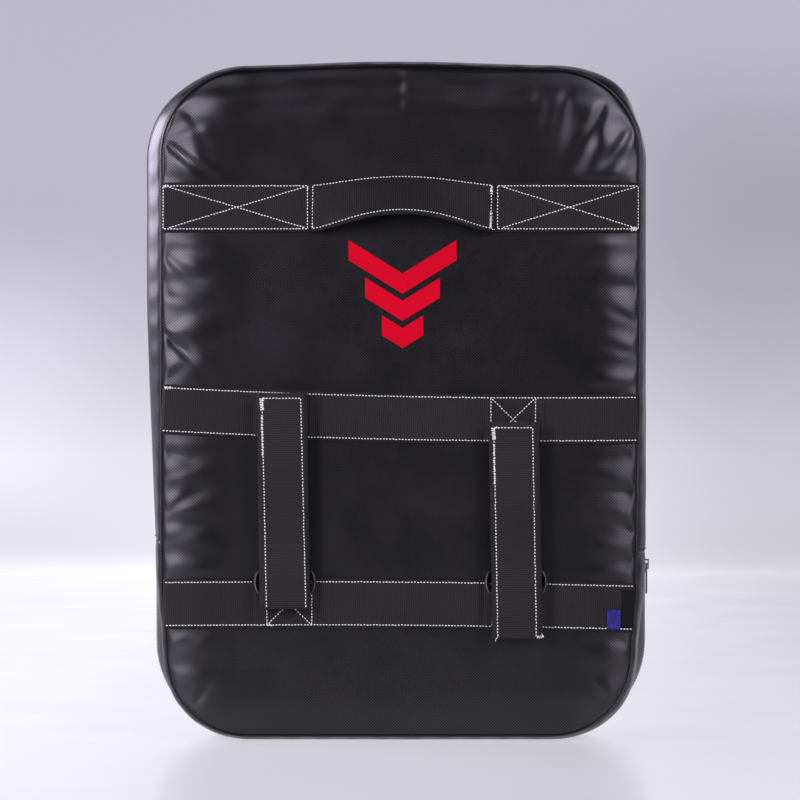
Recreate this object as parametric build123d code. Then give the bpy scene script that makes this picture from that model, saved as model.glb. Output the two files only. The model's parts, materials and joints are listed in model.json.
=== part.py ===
"""A martial-arts kick shield: a foam block in a sewn cover, with webbing bands,
a carry handle, two arm straps on plastic rings and a zip in its lower gusset.

Millimetres. +Z is up, the strike face is towards +Y and the handle side towards -Y.
The origin is in the middle of the flat base. Heights above the back panel's flat
middle, towards -Y, are called lifts.
"""

from build123d import *
import math
import os

os.makedirs("parts", exist_ok=True)

# Cover: rounded-rectangle outlines (width, height, corner radius) and their half depths
BELLY_W, BELLY_H, BELLY_R = 496.0, 677.0, 95.0
SEAM_W, SEAM_H, SEAM_R = 474.0, 664.0, 86.0
EDGE_SLOPE_RUN = 30.0
HALF_DEPTH = 73.0
SEAM_Y = 66.0
BELLY_Y = 46.0
COVER_T = 1.0
FOAM_CLEARANCE = 0.3
WELT_WIDTH, WELT_T = 2.2, 2.0
MID_Z = BELLY_H / 2

# Foam layers, from the handle side to the strike side
BACK_FOAM_T = 24.0
STRIKE_FOAM_T = 28.0

# Zip in the lower gusset: where the gusset is joined, and the zip's section
JOINT_Z_LEFT, JOINT_Z_RIGHT = 200.0, 187.0
ZIP_Y = 22.0
ZIP_END_INSET = 5.0
ZIP_SLOT_HALF = 5.0
TEETH_HALF, TEETH_DEEP, TEETH_T = 3.0, 0.4, 2.0
TAPE_INNER, TAPE_OUTER, TAPE_T = 4.7, 16.0, 0.8
FOAM_RELIEF_HALF, FOAM_RELIEF_T = 17.0, 5.0
STOP_LENGTH = 2.5

# Zip slider and its pull
SLIDER_LENGTH, SLIDER_HALF, SLIDER_WALL = 16.0, 4.4, 1.0
SLIDER_CLEARANCE = 0.3
SLIDER_PLATE_T = 1.2
SLIDER_STOP_GAP = 2.0
BRIDGE_HALF_LENGTH, BRIDGE_RISE, BRIDGE_T, BRIDGE_HALF_WIDTH = 5.0, 2.5, 1.2, 1.0
PULL_AXIS_RISE = 1.3
PULL_BAR_R, PULL_T = 0.9, 1.2
PULL_EYE_LENGTH, PULL_LENGTH = 7.0, 30.0
PULL_EYE_INNER, PULL_EYE_OUTER, PULL_HALF_WIDTH = 1.4, 3.2, 4.0

# Webbing bands
WEB_W, WEB_T = 49.5, 1.5
TOP_BAND_Z, MID_BAND_Z, LOW_BAND_Z = 529.7, 323.9, 137.0
BAND_BUMP_RISE, BAND_BUMP_RAMP = 1.6, 4.0
BAND_BUMP_HALF = WEB_W / 2 + 1.0

# Carry handle, between the top band's two ends
HANDLE_X, HANDLE_HALF = 1.8, 91.6
HANDLE_RISE = 18.5
HANDLE_FREE_HALF = 45.0
HANDLE_END_GAP = 0.3
HANDLE_LIFT = 0.3
LAYER_GAP = 0.1
HANDLE_STEPS = 6

# Arm straps: centre, top and bottom of each stiff pad
STRAPS = {
    "left": {"x": -115.5, "top": 345.9, "bottom": 133.4},
    "right": {"x": 113.0, "top": 316.9, "bottom": 104.4},
}
PAD_LIFT = 15.0
PAD_LAYER_GAP = 0.2
RETURN_LIFT = 5.2
TAB_TUCK = 38.0
BAND_EDGE_DROP = 1.0
SEWN_GAP = 0.25
SEWN_DROP = 2.0
BOTTOM_SEWN_LENGTH, TAB_SEWN_LENGTH = 2.5, 2.0
TAB_SEWN_RISE = 0.4

# Plastic rings, each hanging from its upper bar, the axle
RING_AXLE_Z = 169.2
RING_WIDTH, RING_DROP, RING_CORNER_R, RING_BAR_R = 58.8, 21.0, 4.5, 2.2
RING_REST_ANGLE = 12.0
RING_LOOP_CLEARANCE = 0.3
LOOP_R = RING_BAR_R + RING_LOOP_CLEARANCE + WEB_T / 2
RING_LIFT = WEB_T / 2 + LOOP_R

# Thread, emblem and labels
THREAD_W, THREAD_T = 0.9, 0.5
STITCH_INSET = 3.5
PAD_STITCH_INSET = 5.8
EMBLEM_TOP, EMBLEM_T = 497.4, 0.3
CHEVRON_WIDTHS = (107.0, 74.0, 41.0)
CHEVRON_ARM, CHEVRON_GAP, CHEVRON_SLOPE = 20.0, 7.0, 0.62
LABEL_T = 0.6
BLACK_LABEL = {"x": (222.0, 233.0), "z": 113.4, "height": 37.0}
BLUE_LABEL = {"x": (207.5, 219.5), "z": 111.9, "height": 19.0}
BIG = 2000.0


def write(node, shape):
    """Write one node's STEP file."""
    shape.label = node
    export_step(shape, f"parts/{node}.step")


def outline(width, height, radius, y):
    """A rounded rectangle standing at depth y, centred on the cover's middle."""
    return Plane.XZ.offset(-y) * Pos(0, MID_Z) * RectangleRounded(width, height, radius)


def cover_form(inset):
    """The stuffed cover's outer form, shrunk by inset all over."""
    slope = 2 * EDGE_SLOPE_RUN
    flat = (SEAM_W - slope, SEAM_H - slope, SEAM_R - EDGE_SLOPE_RUN)
    seam = (SEAM_W, SEAM_H, SEAM_R)
    belly = (BELLY_W, BELLY_H, BELLY_R)
    half = [(flat, HALF_DEPTH - inset), (seam, SEAM_Y - inset / 2), (belly, BELLY_Y)]
    stations = [(size, -y) for size, y in half] + [(size, y) for size, y in reversed(half)]
    faces = []
    for (width, height, radius), y in stations:
        faces.append(outline(width - 2 * inset, height - 2 * inset, radius - inset, y))
    return loft(faces, ruled=True)


def slab(y0, y1, z0=-BIG, z1=BIG, x0=-BIG, x1=BIG):
    """A box between the given limits, to cut other forms with."""
    size = (x1 - x0, y1 - y0, z1 - z0)
    middle = ((x0 + x1) / 2, (y0 + y1) / 2, (z0 + z1) / 2)
    return Pos(*middle) * Box(*size)


def belly_ring(deep, thickness, y0, y1):
    """A ring that follows the belly outline, its outside deep mm inside the cover's face."""
    outer = outline(BELLY_W - 2 * deep, BELLY_H - 2 * deep, BELLY_R - deep, y0)
    d = deep + thickness
    inner = outline(BELLY_W - 2 * d, BELLY_H - 2 * d, BELLY_R - d, y0)
    return extrude(outer - inner, amount=y1 - y0, dir=(0, 1, 0))


def below_joints(form, inset=0.0):
    """The part of a form below the gusset's two side joints, less inset at each end."""
    left = slab(-BIG, BIG, z1=JOINT_Z_LEFT - inset, x1=0)
    right = slab(-BIG, BIG, z1=JOINT_Z_RIGHT - inset, x0=0)
    return form & (left + right)


def above_joints(form):
    """The part of a form above the gusset's two side joints."""
    left = slab(-BIG, BIG, z1=JOINT_Z_LEFT, x1=0)
    right = slab(-BIG, BIG, z1=JOINT_Z_RIGHT, x0=0)
    return form - (left + right)


def build_cover():
    """Front and back panels, the gusset's three strips and the two seam welts."""
    shell = cover_form(0) - cover_form(COVER_T)
    write("back_panel", shell & slab(-BIG, -SEAM_Y))
    write("strike_panel", shell & slab(SEAM_Y, BIG))
    gusset = shell & slab(-SEAM_Y, SEAM_Y)
    write("upper_gusset", above_joints(gusset))
    lower = below_joints(gusset)
    write("lower_gusset_back", lower & slab(-BIG, ZIP_Y - ZIP_SLOT_HALF))
    write("lower_gusset_front", lower & slab(ZIP_Y + ZIP_SLOT_HALF, BIG))
    for node, side in (("back_welt", -1), ("front_welt", 1)):
        inner = outline(SEAM_W, SEAM_H, SEAM_R, side * SEAM_Y)
        w = 2 * WELT_WIDTH
        outer = outline(SEAM_W + w, SEAM_H + w, SEAM_R + WELT_WIDTH, side * SEAM_Y)
        write(node, extrude(outer - inner, amount=WELT_T, dir=(0, side, 0)))


def build_foam():
    """Three glued foam layers, the core relieved behind the zip."""
    block = cover_form(COVER_T + FOAM_CLEARANCE)
    back_joint = -HALF_DEPTH + BACK_FOAM_T
    strike_joint = HALF_DEPTH - STRIKE_FOAM_T
    write("back_foam", block & slab(-BIG, back_joint))
    write("strike_foam", block & slab(strike_joint, BIG))
    y0, y1 = ZIP_Y - FOAM_RELIEF_HALF, ZIP_Y + FOAM_RELIEF_HALF
    relief = below_joints(belly_ring(0, COVER_T + FOAM_RELIEF_T, y0, y1))
    write("core_foam", (block & slab(back_joint, strike_joint)) - relief)


def build_zip():
    """Tapes, teeth and end stops along the lower gusset, then the slider and its pull."""
    for node, side in (("zip_tape_back", -1), ("zip_tape_front", 1)):
        y0, y1 = sorted((ZIP_Y + side * TAPE_INNER, ZIP_Y + side * TAPE_OUTER))
        tape = belly_ring(COVER_T, TAPE_T, y0, y1)
        write(node, below_joints(tape, ZIP_END_INSET))
    teeth = belly_ring(TEETH_DEEP, TEETH_T, ZIP_Y - TEETH_HALF, ZIP_Y + TEETH_HALF)
    write("zip_teeth", below_joints(teeth, ZIP_END_INSET))

    teeth_x = BELLY_W / 2 - TEETH_DEEP - TEETH_T / 2
    stop = Box(TEETH_T, 2 * TEETH_HALF, STOP_LENGTH)
    stop_rise = STOP_LENGTH / 2 - ZIP_END_INSET
    left_stop = Pos(-teeth_x, ZIP_Y, JOINT_Z_LEFT + stop_rise) * stop
    right_stop = Pos(teeth_x, ZIP_Y, JOINT_Z_RIGHT + stop_rise) * stop
    write("zip_end_stops", Compound(children=[left_stop, right_stop]))

    slider_z = JOINT_Z_RIGHT - ZIP_END_INSET - SLIDER_LENGTH / 2 - SLIDER_STOP_GAP
    inside = teeth_x - TEETH_T / 2 - SLIDER_CLEARANCE
    outside = teeth_x + TEETH_T / 2 + SLIDER_CLEARANCE
    z0, z1 = slider_z - SLIDER_LENGTH / 2, slider_z + SLIDER_LENGTH / 2
    face = outside + SLIDER_PLATE_T
    shell = slab(-SLIDER_HALF, SLIDER_HALF, z0, z1, inside - SLIDER_WALL, face)
    channel_half = SLIDER_HALF - SLIDER_WALL
    channel = slab(-channel_half, channel_half, z0 - 1, z1 + 1, inside, outside)
    low, high = slider_z - BRIDGE_HALF_LENGTH, slider_z + BRIDGE_HALF_LENGTH
    w, top = BRIDGE_HALF_WIDTH, face + BRIDGE_RISE
    bridge = slab(-w, w, low, high, face, top + BRIDGE_T)
    bridge -= slab(-w, w, low + BRIDGE_T, high - BRIDGE_T, face, top)
    write("zip_slider", Pos(0, ZIP_Y, 0) * (shell - channel + bridge))

    axis_x = face + PULL_AXIS_RISE
    bar = Pos(axis_x, 0, slider_z) * Rot(90, 0, 0) * Cylinder(PULL_BAR_R, 2 * PULL_EYE_OUTER)
    eye_z = slider_z - PULL_EYE_LENGTH
    x0, x1 = axis_x - PULL_T / 2, axis_x + PULL_T / 2
    eye = slab(-PULL_EYE_OUTER, PULL_EYE_OUTER, eye_z, slider_z, x0, x1)
    eye -= slab(-PULL_EYE_INNER, PULL_EYE_INNER, eye_z, slider_z, x0, x1)
    grip = slab(-PULL_HALF_WIDTH, PULL_HALF_WIDTH, slider_z - PULL_LENGTH, eye_z, x0, x1)
    write("zip_pull", Pos(0, ZIP_Y, 0) * (bar + eye + grip))


def surface_lift(x):
    """Lift of the back panel's face at x: flat in the middle, sloping down to the side seams."""
    flat_half = SEAM_W / 2 - EDGE_SLOPE_RUN
    if abs(x) <= flat_half:
        return 0.0
    return -(abs(x) - flat_half) * (HALF_DEPTH - SEAM_Y) / EDGE_SLOPE_RUN


def band_line(x0, x1, bumps=()):
    """Points (x, lift) of a band's underside, which rises over each tab tucked under it."""
    flat_half = SEAM_W / 2 - EDGE_SLOPE_RUN
    points = [(x, surface_lift(x)) for x in (x0, -flat_half, flat_half, x1) if x0 <= x <= x1]
    for centre in bumps:
        for side in (-1, 1):
            foot = centre + side * (BAND_BUMP_HALF + BAND_BUMP_RAMP)
            points += [(foot, 0.0), (centre + side * BAND_BUMP_HALF, BAND_BUMP_RISE)]
    return sorted(set(points))


def ribbon(line, z0, height, thickness, lift=0.0):
    """A strip that follows the points of line, from z0 upwards."""
    near = [(x, -(HALF_DEPTH + rise + lift)) for x, rise in line]
    far = [(x, y - thickness) for x, y in near]
    face = make_face(Polyline(*near, *reversed(far), close=True))
    return Pos(0, 0, z0) * extrude(face, amount=height, dir=(0, 0, 1))


def stitch_pattern(paths):
    """Lines of thread, drawn as (x, z) points and cut through the whole depth."""
    drawn = None
    for path in paths:
        for start, end in zip(path, path[1:]):
            line = trace(Line(start, end), THREAD_W)
            drawn = line if drawn is None else drawn + line
    return extrude(Plane.XZ.offset(-BIG / 2) * drawn, amount=BIG)


def box_path(x0, x1, z0, z1):
    """A closed rectangle of stitching."""
    return [(x0, z0), (x1, z0), (x1, z1), (x0, z1), (x0, z0)]


def cross_paths(x0, x1, z0, z1):
    """The two diagonals of a box of stitching."""
    return [[(x0, z0), (x1, z1)], [(x0, z1), (x1, z0)]]


def build_bands():
    """The top band's two ends, the middle band and the lower band, with their thread."""
    edge = SEAM_W / 2
    bumps = [strap["x"] for strap in STRAPS.values()]
    handle_ends = (HANDLE_X - HANDLE_HALF, HANDLE_X + HANDLE_HALF)
    bands = {
        "top_band_left": (TOP_BAND_Z, band_line(-edge, handle_ends[0])),
        "top_band_right": (TOP_BAND_Z, band_line(handle_ends[1], edge)),
        "middle_band": (MID_BAND_Z, band_line(-edge, edge, bumps)),
        "lower_band": (LOW_BAND_Z, band_line(-edge, edge, bumps)),
    }
    for node, (z, line) in bands.items():
        write(node, ribbon(line, z - WEB_W / 2, WEB_W, WEB_T))
        x0, x1 = line[0][0] + STITCH_INSET, line[-1][0] - STITCH_INSET
        z0, z1 = z - WEB_W / 2 + STITCH_INSET, z + WEB_W / 2 - STITCH_INSET
        paths = [box_path(x0, x1, z0, z1)]
        if node.startswith("top"):
            paths += cross_paths(x0, x1, z0, z1)
        else:
            for centre in bumps:
                a, b = centre - WEB_W / 2 + STITCH_INSET, centre + WEB_W / 2 - STITCH_INSET
                paths += [[(a, z0), (a, z1)], [(b, z0), (b, z1)]] + cross_paths(a, b, z0, z1)
        layer = ribbon(line, z - WEB_W / 2, WEB_W, THREAD_T, lift=WEB_T)
        write(node + "_thread", layer & stitch_pattern(paths))


def handle_section(x, w0, w1, n0, n1):
    """A slice of the carry handle at x: it arches off the panel and leans up against it.

    w0 and w1 are the limits across the webbing, n0 and n1 those through its layers.
    """
    rise = HANDLE_RISE * (1 - ((x - HANDLE_X) / HANDLE_HALF) ** 2)
    lean = math.atan2(rise, WEB_W / 2)
    corners = []
    for w, n in ((w0, n0), (w1, n0), (w1, n1), (w0, n1)):
        lift = (rise + n) * math.cos(lean) - w * math.sin(lean)
        z = (rise + n) * math.sin(lean) + w * math.cos(lean)
        corners.append((x, -(HALF_DEPTH + lift), TOP_BAND_Z + z))
    return make_face(Polyline(*corners, close=True))


def handle_strip(x0, x1, w0, w1, n0, n1, steps):
    """A lofted strip of the carry handle between two places along it."""
    stations = [x0 + (x1 - x0) * i / steps for i in range(steps + 1)]
    return loft([handle_section(x, w0, w1, n0, n1) for x in stations], ruled=True)


def build_handle():
    """The handle's free middle, which swings, and its two ends, which twist to follow it."""
    inner = HANDLE_LIFT
    outer = inner + WEB_T + LAYER_GAP
    thread = outer + WEB_T
    half = WEB_W / 2
    free = (HANDLE_X - HANDLE_FREE_HALF, HANDLE_X + HANDLE_FREE_HALF)
    write("handle_strap", handle_strip(*free, -half, half, inner, inner + WEB_T, HANDLE_STEPS))
    write("handle_cover", handle_strip(*free, -half, half, outer, thread, HANDLE_STEPS))
    rows = []
    for side in (-1, 1):
        w = side * (half - STITCH_INSET)
        limits = (w - THREAD_W / 2, w + THREAD_W / 2, thread, thread + THREAD_T)
        rows.append(handle_strip(*free, *limits, HANDLE_STEPS))
    write("handle_thread", Compound(children=rows))
    for name, side in (("left", -1), ("right", 1)):
        near = HANDLE_X + side * (HANDLE_FREE_HALF + HANDLE_END_GAP)
        far = HANDLE_X + side * (HANDLE_HALF - HANDLE_END_GAP)
        strip = handle_strip(near, far, -half, half, inner, inner + WEB_T, HANDLE_STEPS)
        write(f"handle_{name}_end", strip)
        cover = handle_strip(near, far, -half, half, outer, thread, HANDLE_STEPS)
        write(f"handle_{name}_end_cover", cover)


def bent_webbing(path, x):
    """Webbing, full width at x, along a path drawn as (lift, z) lines and arcs."""
    side_view = Plane(origin=(x + WEB_W / 2, 0, 0), x_dir=(0, -1, 0), z_dir=(-1, 0, 0))
    return extrude(side_view * Pos(HALF_DEPTH, 0) * trace(path, WEB_T), amount=WEB_W)


def half_turn(start, end, up):
    """A half circle from start to end, which are level, bulging up or down."""
    radius = abs(end[0] - start[0]) / 2
    top = ((start[0] + end[0]) / 2, start[1] + (radius if up else -radius))
    return ThreePointArc(start, top, end)


def build_strap(name, strap):
    """One arm strap: its pad, backing, two folded ends, ring and ring tab."""
    x, top, bottom = strap["x"], strap["top"], strap["bottom"]
    half = WEB_W / 2
    backing_lift = PAD_LIFT + WEB_T / 2
    pad_y = -(HALF_DEPTH + PAD_LIFT + WEB_T + PAD_LAYER_GAP)
    pad_face = pad_y - WEB_T
    write(f"{name}_strap_pad", slab(pad_face, pad_y, bottom, top, x - half, x + half))
    inset = PAD_STITCH_INSET
    paths = [box_path(x - half + inset, x + half - inset, bottom + inset, top - inset)]
    layer = slab(pad_face - THREAD_T, pad_face, bottom, top, x - half, x + half)
    write(f"{name}_strap_thread", layer & stitch_pattern(paths))

    axle = (RING_LIFT, RING_AXLE_Z)
    swing = math.radians(RING_REST_ANGLE)
    bar = (axle[0] + RING_DROP * math.sin(swing), axle[1] - RING_DROP * math.cos(swing))

    top_turn_z = top - (backing_lift - RETURN_LIFT) / 2 - WEB_T / 2
    front_leg = bar[0] + LOOP_R
    bottom_turn_z = bottom + (backing_lift - front_leg) / 2 + WEB_T / 2
    backing_y = -(HALF_DEPTH + PAD_LIFT + WEB_T)
    backing = slab(backing_y, backing_y + WEB_T, bottom_turn_z, top_turn_z, x - half, x + half)
    write(f"{name}_strap_backing", backing)

    edge_z = MID_BAND_Z - WEB_W / 2 - BAND_EDGE_DROP
    tab_lift = WEB_T / 2
    top_end = Curve() + [
        Line((tab_lift, edge_z + TAB_TUCK), (tab_lift, edge_z)),
        half_turn((tab_lift, edge_z), (RETURN_LIFT, edge_z), up=False),
        Line((RETURN_LIFT, edge_z), (RETURN_LIFT, top_turn_z)),
        half_turn((RETURN_LIFT, top_turn_z), (backing_lift, top_turn_z), up=True),
    ]
    write(f"{name}_strap_top_end", bent_webbing(top_end, x))

    back_leg = bar[0] - LOOP_R
    sewn = (front_leg - WEB_T - SEWN_GAP, bar[1] - BOTTOM_SEWN_LENGTH * LOOP_R)
    bottom_end = Curve() + [
        half_turn((backing_lift, bottom_turn_z), (front_leg, bottom_turn_z), up=False),
        Line((front_leg, bottom_turn_z), (front_leg, bar[1])),
        half_turn((front_leg, bar[1]), (back_leg, bar[1]), up=True),
        Line((back_leg, bar[1]), (back_leg, bar[1] - SEWN_DROP)),
        Line((back_leg, bar[1] - SEWN_DROP), sewn),
    ]
    write(f"{name}_strap_bottom_end", bent_webbing(bottom_end, x))

    front = (axle[0] + LOOP_R, axle[1])
    join_z = axle[1] - TAB_SEWN_LENGTH * LOOP_R + TAB_SEWN_RISE
    joined = (tab_lift + WEB_T + SEWN_GAP, join_z)
    tab = Curve() + [
        Line((tab_lift, LOW_BAND_Z + half - TAB_TUCK), (tab_lift, axle[1])),
        half_turn((tab_lift, axle[1]), front, up=True),
        Line(front, (front[0], axle[1] - SEWN_DROP)),
        Line((front[0], axle[1] - SEWN_DROP), joined),
    ]
    write(f"{name}_ring_tab", bent_webbing(tab, x))

    ring_plane = Plane(
        origin=(x, -(HALF_DEPTH + (axle[0] + bar[0]) / 2), (axle[1] + bar[1]) / 2),
        x_dir=(1, 0, 0),
        z_dir=(0, -math.cos(swing), math.sin(swing)),
    )
    loop = RectangleRounded(RING_WIDTH, RING_DROP, RING_CORNER_R).wire()
    section = Plane(origin=loop @ 0, z_dir=loop % 0) * Circle(RING_BAR_R)
    write(f"{name}_ring", ring_plane * sweep(section, path=loop))


def build_trim():
    """The printed emblem and two labels sewn in at the lower right."""
    chevrons = []
    apex = EMBLEM_TOP - CHEVRON_WIDTHS[0] / 2 * CHEVRON_SLOPE
    for i, width in enumerate(CHEVRON_WIDTHS):
        low = apex - i * (CHEVRON_ARM + CHEVRON_GAP)
        half = width / 2
        upper = [(-half, low + half * CHEVRON_SLOPE), (0, low), (half, low + half * CHEVRON_SLOPE)]
        lower = [(px, pz - CHEVRON_ARM) for px, pz in reversed(upper)]
        face = Plane.XZ.offset(HALF_DEPTH) * make_face(Polyline(*upper, *lower, close=True))
        chevrons.append(Pos(HANDLE_X, 0, 0) * extrude(face, amount=EMBLEM_T))
    write("emblem", Compound(children=chevrons))
    for node, label in (("black_label", BLACK_LABEL), ("blue_label", BLUE_LABEL)):
        line = [(x, surface_lift(x)) for x in label["x"]]
        write(node, ribbon(line, label["z"], label["height"], LABEL_T, lift=WEB_T + THREAD_T))


build_cover()
build_foam()
build_zip()
build_bands()
build_handle()
for strap_name, strap_place in STRAPS.items():
    build_strap(strap_name, strap_place)
build_trim()
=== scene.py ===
import json
import math
import random

import bmesh
import bpy
import numpy as np
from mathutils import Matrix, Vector, noise


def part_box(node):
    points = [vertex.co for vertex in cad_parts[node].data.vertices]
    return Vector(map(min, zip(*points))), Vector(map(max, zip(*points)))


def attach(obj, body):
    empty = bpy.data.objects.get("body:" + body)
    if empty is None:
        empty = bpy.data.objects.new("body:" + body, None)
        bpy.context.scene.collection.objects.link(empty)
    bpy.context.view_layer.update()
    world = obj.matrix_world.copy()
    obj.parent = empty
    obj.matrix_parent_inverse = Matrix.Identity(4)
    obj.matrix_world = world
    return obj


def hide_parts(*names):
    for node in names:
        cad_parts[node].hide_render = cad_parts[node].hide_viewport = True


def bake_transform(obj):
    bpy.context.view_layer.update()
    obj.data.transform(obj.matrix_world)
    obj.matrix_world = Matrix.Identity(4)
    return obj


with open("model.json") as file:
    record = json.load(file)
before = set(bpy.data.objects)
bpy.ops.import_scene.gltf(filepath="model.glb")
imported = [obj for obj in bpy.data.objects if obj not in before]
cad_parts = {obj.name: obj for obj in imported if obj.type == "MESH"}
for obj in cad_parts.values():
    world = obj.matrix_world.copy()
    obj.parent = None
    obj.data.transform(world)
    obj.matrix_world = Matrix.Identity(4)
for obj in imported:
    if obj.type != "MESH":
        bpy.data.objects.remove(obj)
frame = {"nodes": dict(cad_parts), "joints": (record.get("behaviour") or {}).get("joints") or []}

random.seed(7)
MM = 0.001
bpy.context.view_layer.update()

# Sizes read from the frame
PANEL_LOW, PANEL_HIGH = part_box("back_panel")
GUSSET_LOW, GUSSET_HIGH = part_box("upper_gusset")
PANEL_Y = -PANEL_LOW.y
SEAM_Y = -PANEL_HIGH.y
SEAM_W, SEAM_H = PANEL_HIGH.x - PANEL_LOW.x, PANEL_HIGH.z - PANEL_LOW.z
BELLY_W, BELLY_H = GUSSET_HIGH.x - GUSSET_LOW.x, GUSSET_HIGH.z
MID_Z = BELLY_H / 2
BAND_LOW, BAND_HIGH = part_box("middle_band")
WEB_W = BAND_HIGH.z - BAND_LOW.z
HALF_WEB = WEB_W / 2
BAND_Z = {n: (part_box(n)[0].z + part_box(n)[1].z) / 2 for n in ("top_band_left", "middle_band", "lower_band")}
STRAP_X = {s: (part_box(f"{s}_strap_pad")[0].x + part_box(f"{s}_strap_pad")[1].x) / 2 for s in ("left", "right")}
ZIP_Y = (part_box("zip_teeth")[0].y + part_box("zip_teeth")[1].y) / 2
LEFT_JOINT_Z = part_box("lower_gusset_back")[1].z
RIGHT_JOINT_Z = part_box("upper_gusset")[0].z
JOINTS = {j["name"]: j for j in frame["joints"]}

# Outlines of the cover, whose corners the part rounds with these radii
SEAM_R, BELLY_R = 86 * MM, 95 * MM
BELLY_Y = 46 * MM
CELLS_X, CELLS_Z, CELLS_CORNER = 62, 98, 28
RIB_PITCH, RIB_HIGH = 2.12 * MM, 0.20 * MM
WEAVE_PITCH = 3.0 * MM
CLOTH_T = 0.9 * MM
WEB_T = 1.5 * MM


def smooth(t):
    """0 below 0, 1 above 1, and an easy curve between."""
    t = min(max(t, 0.0), 1.0)
    return t * t * (3 - 2 * t)


def mix(a, b, t):
    return a + (b - a) * t


# ---------------------------------------------------------------- materials


class Nodes:
    """A material's node tree, with short calls to add and join nodes."""

    def __init__(self, name):
        self.material = bpy.data.materials.new(name)
        self.material.use_nodes = True
        self.tree = self.material.node_tree
        self.shader = self.tree.nodes["Principled BSDF"]

    def add(self, kind, inputs=None, **settings):
        node = self.tree.nodes.new("ShaderNode" + kind)
        for key, value in settings.items():
            setattr(node, key, value)
        for key, value in (inputs or {}).items():
            if isinstance(value, bpy.types.NodeSocket):
                self.tree.links.new(value, node.inputs[key])
            else:
                node.inputs[key].default_value = value
        return node

    def math(self, operation, a, b=0.0, clamp=False):
        return self.add("Math", {0: a, 1: b}, operation=operation, use_clamp=clamp).outputs[0]

    def noise(self, vector, scale, detail=3.0, roughness=0.55):
        values = {"Vector": vector, "Scale": scale, "Detail": detail, "Roughness": roughness}
        return self.add("TexNoise", values).outputs["Fac"]

    def ramp(self, factor, low, high, at=(0.3, 0.7)):
        node = self.add("ValToRGB", {"Fac": factor})
        stops = node.color_ramp.elements
        stops[0].position, stops[1].position = at
        stops[0].color, stops[1].color = (*low, 1.0), (*high, 1.0)
        return node.outputs["Color"]

    def spread(self, factor, low, high):
        values = {"Value": factor, "From Min": 0.25, "From Max": 0.75, "To Min": low, "To Max": high}
        return self.add("MapRange", values).outputs["Result"]

    def bump(self, height, distance, strength=1.0, under=None):
        values = {"Height": height, "Distance": distance, "Strength": strength}
        if under is not None:
            values["Normal"] = under
        return self.add("Bump", values).outputs["Normal"]

    def set(self, **values):
        for key, value in values.items():
            socket = self.shader.inputs[key.replace("_", " ")]
            if isinstance(value, bpy.types.NodeSocket):
                self.tree.links.new(value, socket)
            else:
                socket.default_value = value

    def place(self):
        return self.add("TexCoord").outputs["Object"]

    def surface(self):
        """Metres along and across the piece's own surface."""
        return self.add("Attribute", attribute_name="cloth_grid").outputs["Vector"]

    def axes(self, vector):
        split = self.add("SeparateXYZ", {0: vector})
        return split.outputs["X"], split.outputs["Y"], split.outputs["Z"]

    def wave(self, value, pitch):
        return self.math("SINE", self.math("MULTIPLY", value, 2 * math.pi / pitch))


def pvc_material(name, relief):
    """PVC-coated fabric: a fine woven emboss under a semi-gloss skin, scuffed here and there; its colour carries
    painted shade, lighter on the emboss's raised dots and darker in its hollows.
    """
    n = Nodes(name)
    place, along = n.place(), n.surface()
    u, v, _ = n.axes(along)
    weave = n.math("MULTIPLY", n.wave(u, WEAVE_PITCH), n.wave(v, WEAVE_PITCH))
    patchy = n.spread(n.noise(place, 9.0, 2.0), 0.5, 1.0)
    weave = n.math("MULTIPLY", weave, patchy)
    cloud = n.noise(place, 14.0, 4.0)
    scuff = n.noise(place, 110.0, 4.0, 0.6)
    # Painted shade: the colour follows the emboss's height, lighter on its raised dots and darker in its
    # hollows, over a random tone
    tone_and_painted_shade = n.math("ADD", n.math("MULTIPLY", weave, 0.22), cloud)
    n.set(Base_Color=n.ramp(tone_and_painted_shade, (0.0016, 0.0014, 0.0018), (0.0060, 0.0053, 0.0062), at=(0.25, 0.75)))
    n.set(Roughness=n.math("ADD", n.spread(cloud, 0.28, 0.35), n.spread(scuff, -0.01, 0.03)))
    n.set(Specular_IOR_Level=n.math("ADD", 0.52, n.math("MULTIPLY", weave, 0.34)))
    soft = n.bump(n.noise(place, 30.0, 3.0), 0.5 * MM, 0.2)
    n.set(Normal=n.bump(weave, relief, 1.0, soft))
    return n.material


def webbing_material():
    """Polypropylene webbing: fine warp yarns over the modelled ribs, with painted shade in the colour, lighter
    on rib crests and yarn tops and darker in the grooves.
    """
    n = Nodes("webbing")
    place, along = n.place(), n.surface()
    u, v, _ = n.axes(along)
    yarn = n.math("ADD", n.wave(v, 1.05 * MM), n.math("MULTIPLY", n.wave(u, 1.05 * MM), 0.5))
    fibre = n.noise(place, 900.0, 3.0, 0.7)
    cloud = n.noise(place, 22.0, 4.0)
    # Painted shade: rib runs in step with the modelled ribs and yarn with the yarn bump, so the colour is
    # lighter on crests and darker in grooves, over a random tone
    rib = n.wave(n.math("ADD", u, RIB_PITCH / 4), RIB_PITCH)
    tone_and_painted_shade = n.math("ADD", n.math("MULTIPLY", yarn, 0.06), n.spread(cloud, 0.35, 0.55))
    tone_and_painted_shade = n.math("ADD", tone_and_painted_shade, n.math("MULTIPLY", rib, 0.30))
    n.set(Base_Color=n.ramp(tone_and_painted_shade, (0.0012, 0.0010, 0.0009), (0.0200, 0.0160, 0.0145), at=(0.1, 0.9)))
    n.set(Roughness=n.spread(fibre, 0.50, 0.66), Specular_IOR_Level=0.28)
    n.set(Sheen_Weight=0.03, Sheen_Roughness=0.4)
    n.set(Normal=n.bump(yarn, 0.09 * MM, 0.8, n.bump(fibre, 0.15 * MM, 0.5)))
    return n.material


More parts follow.
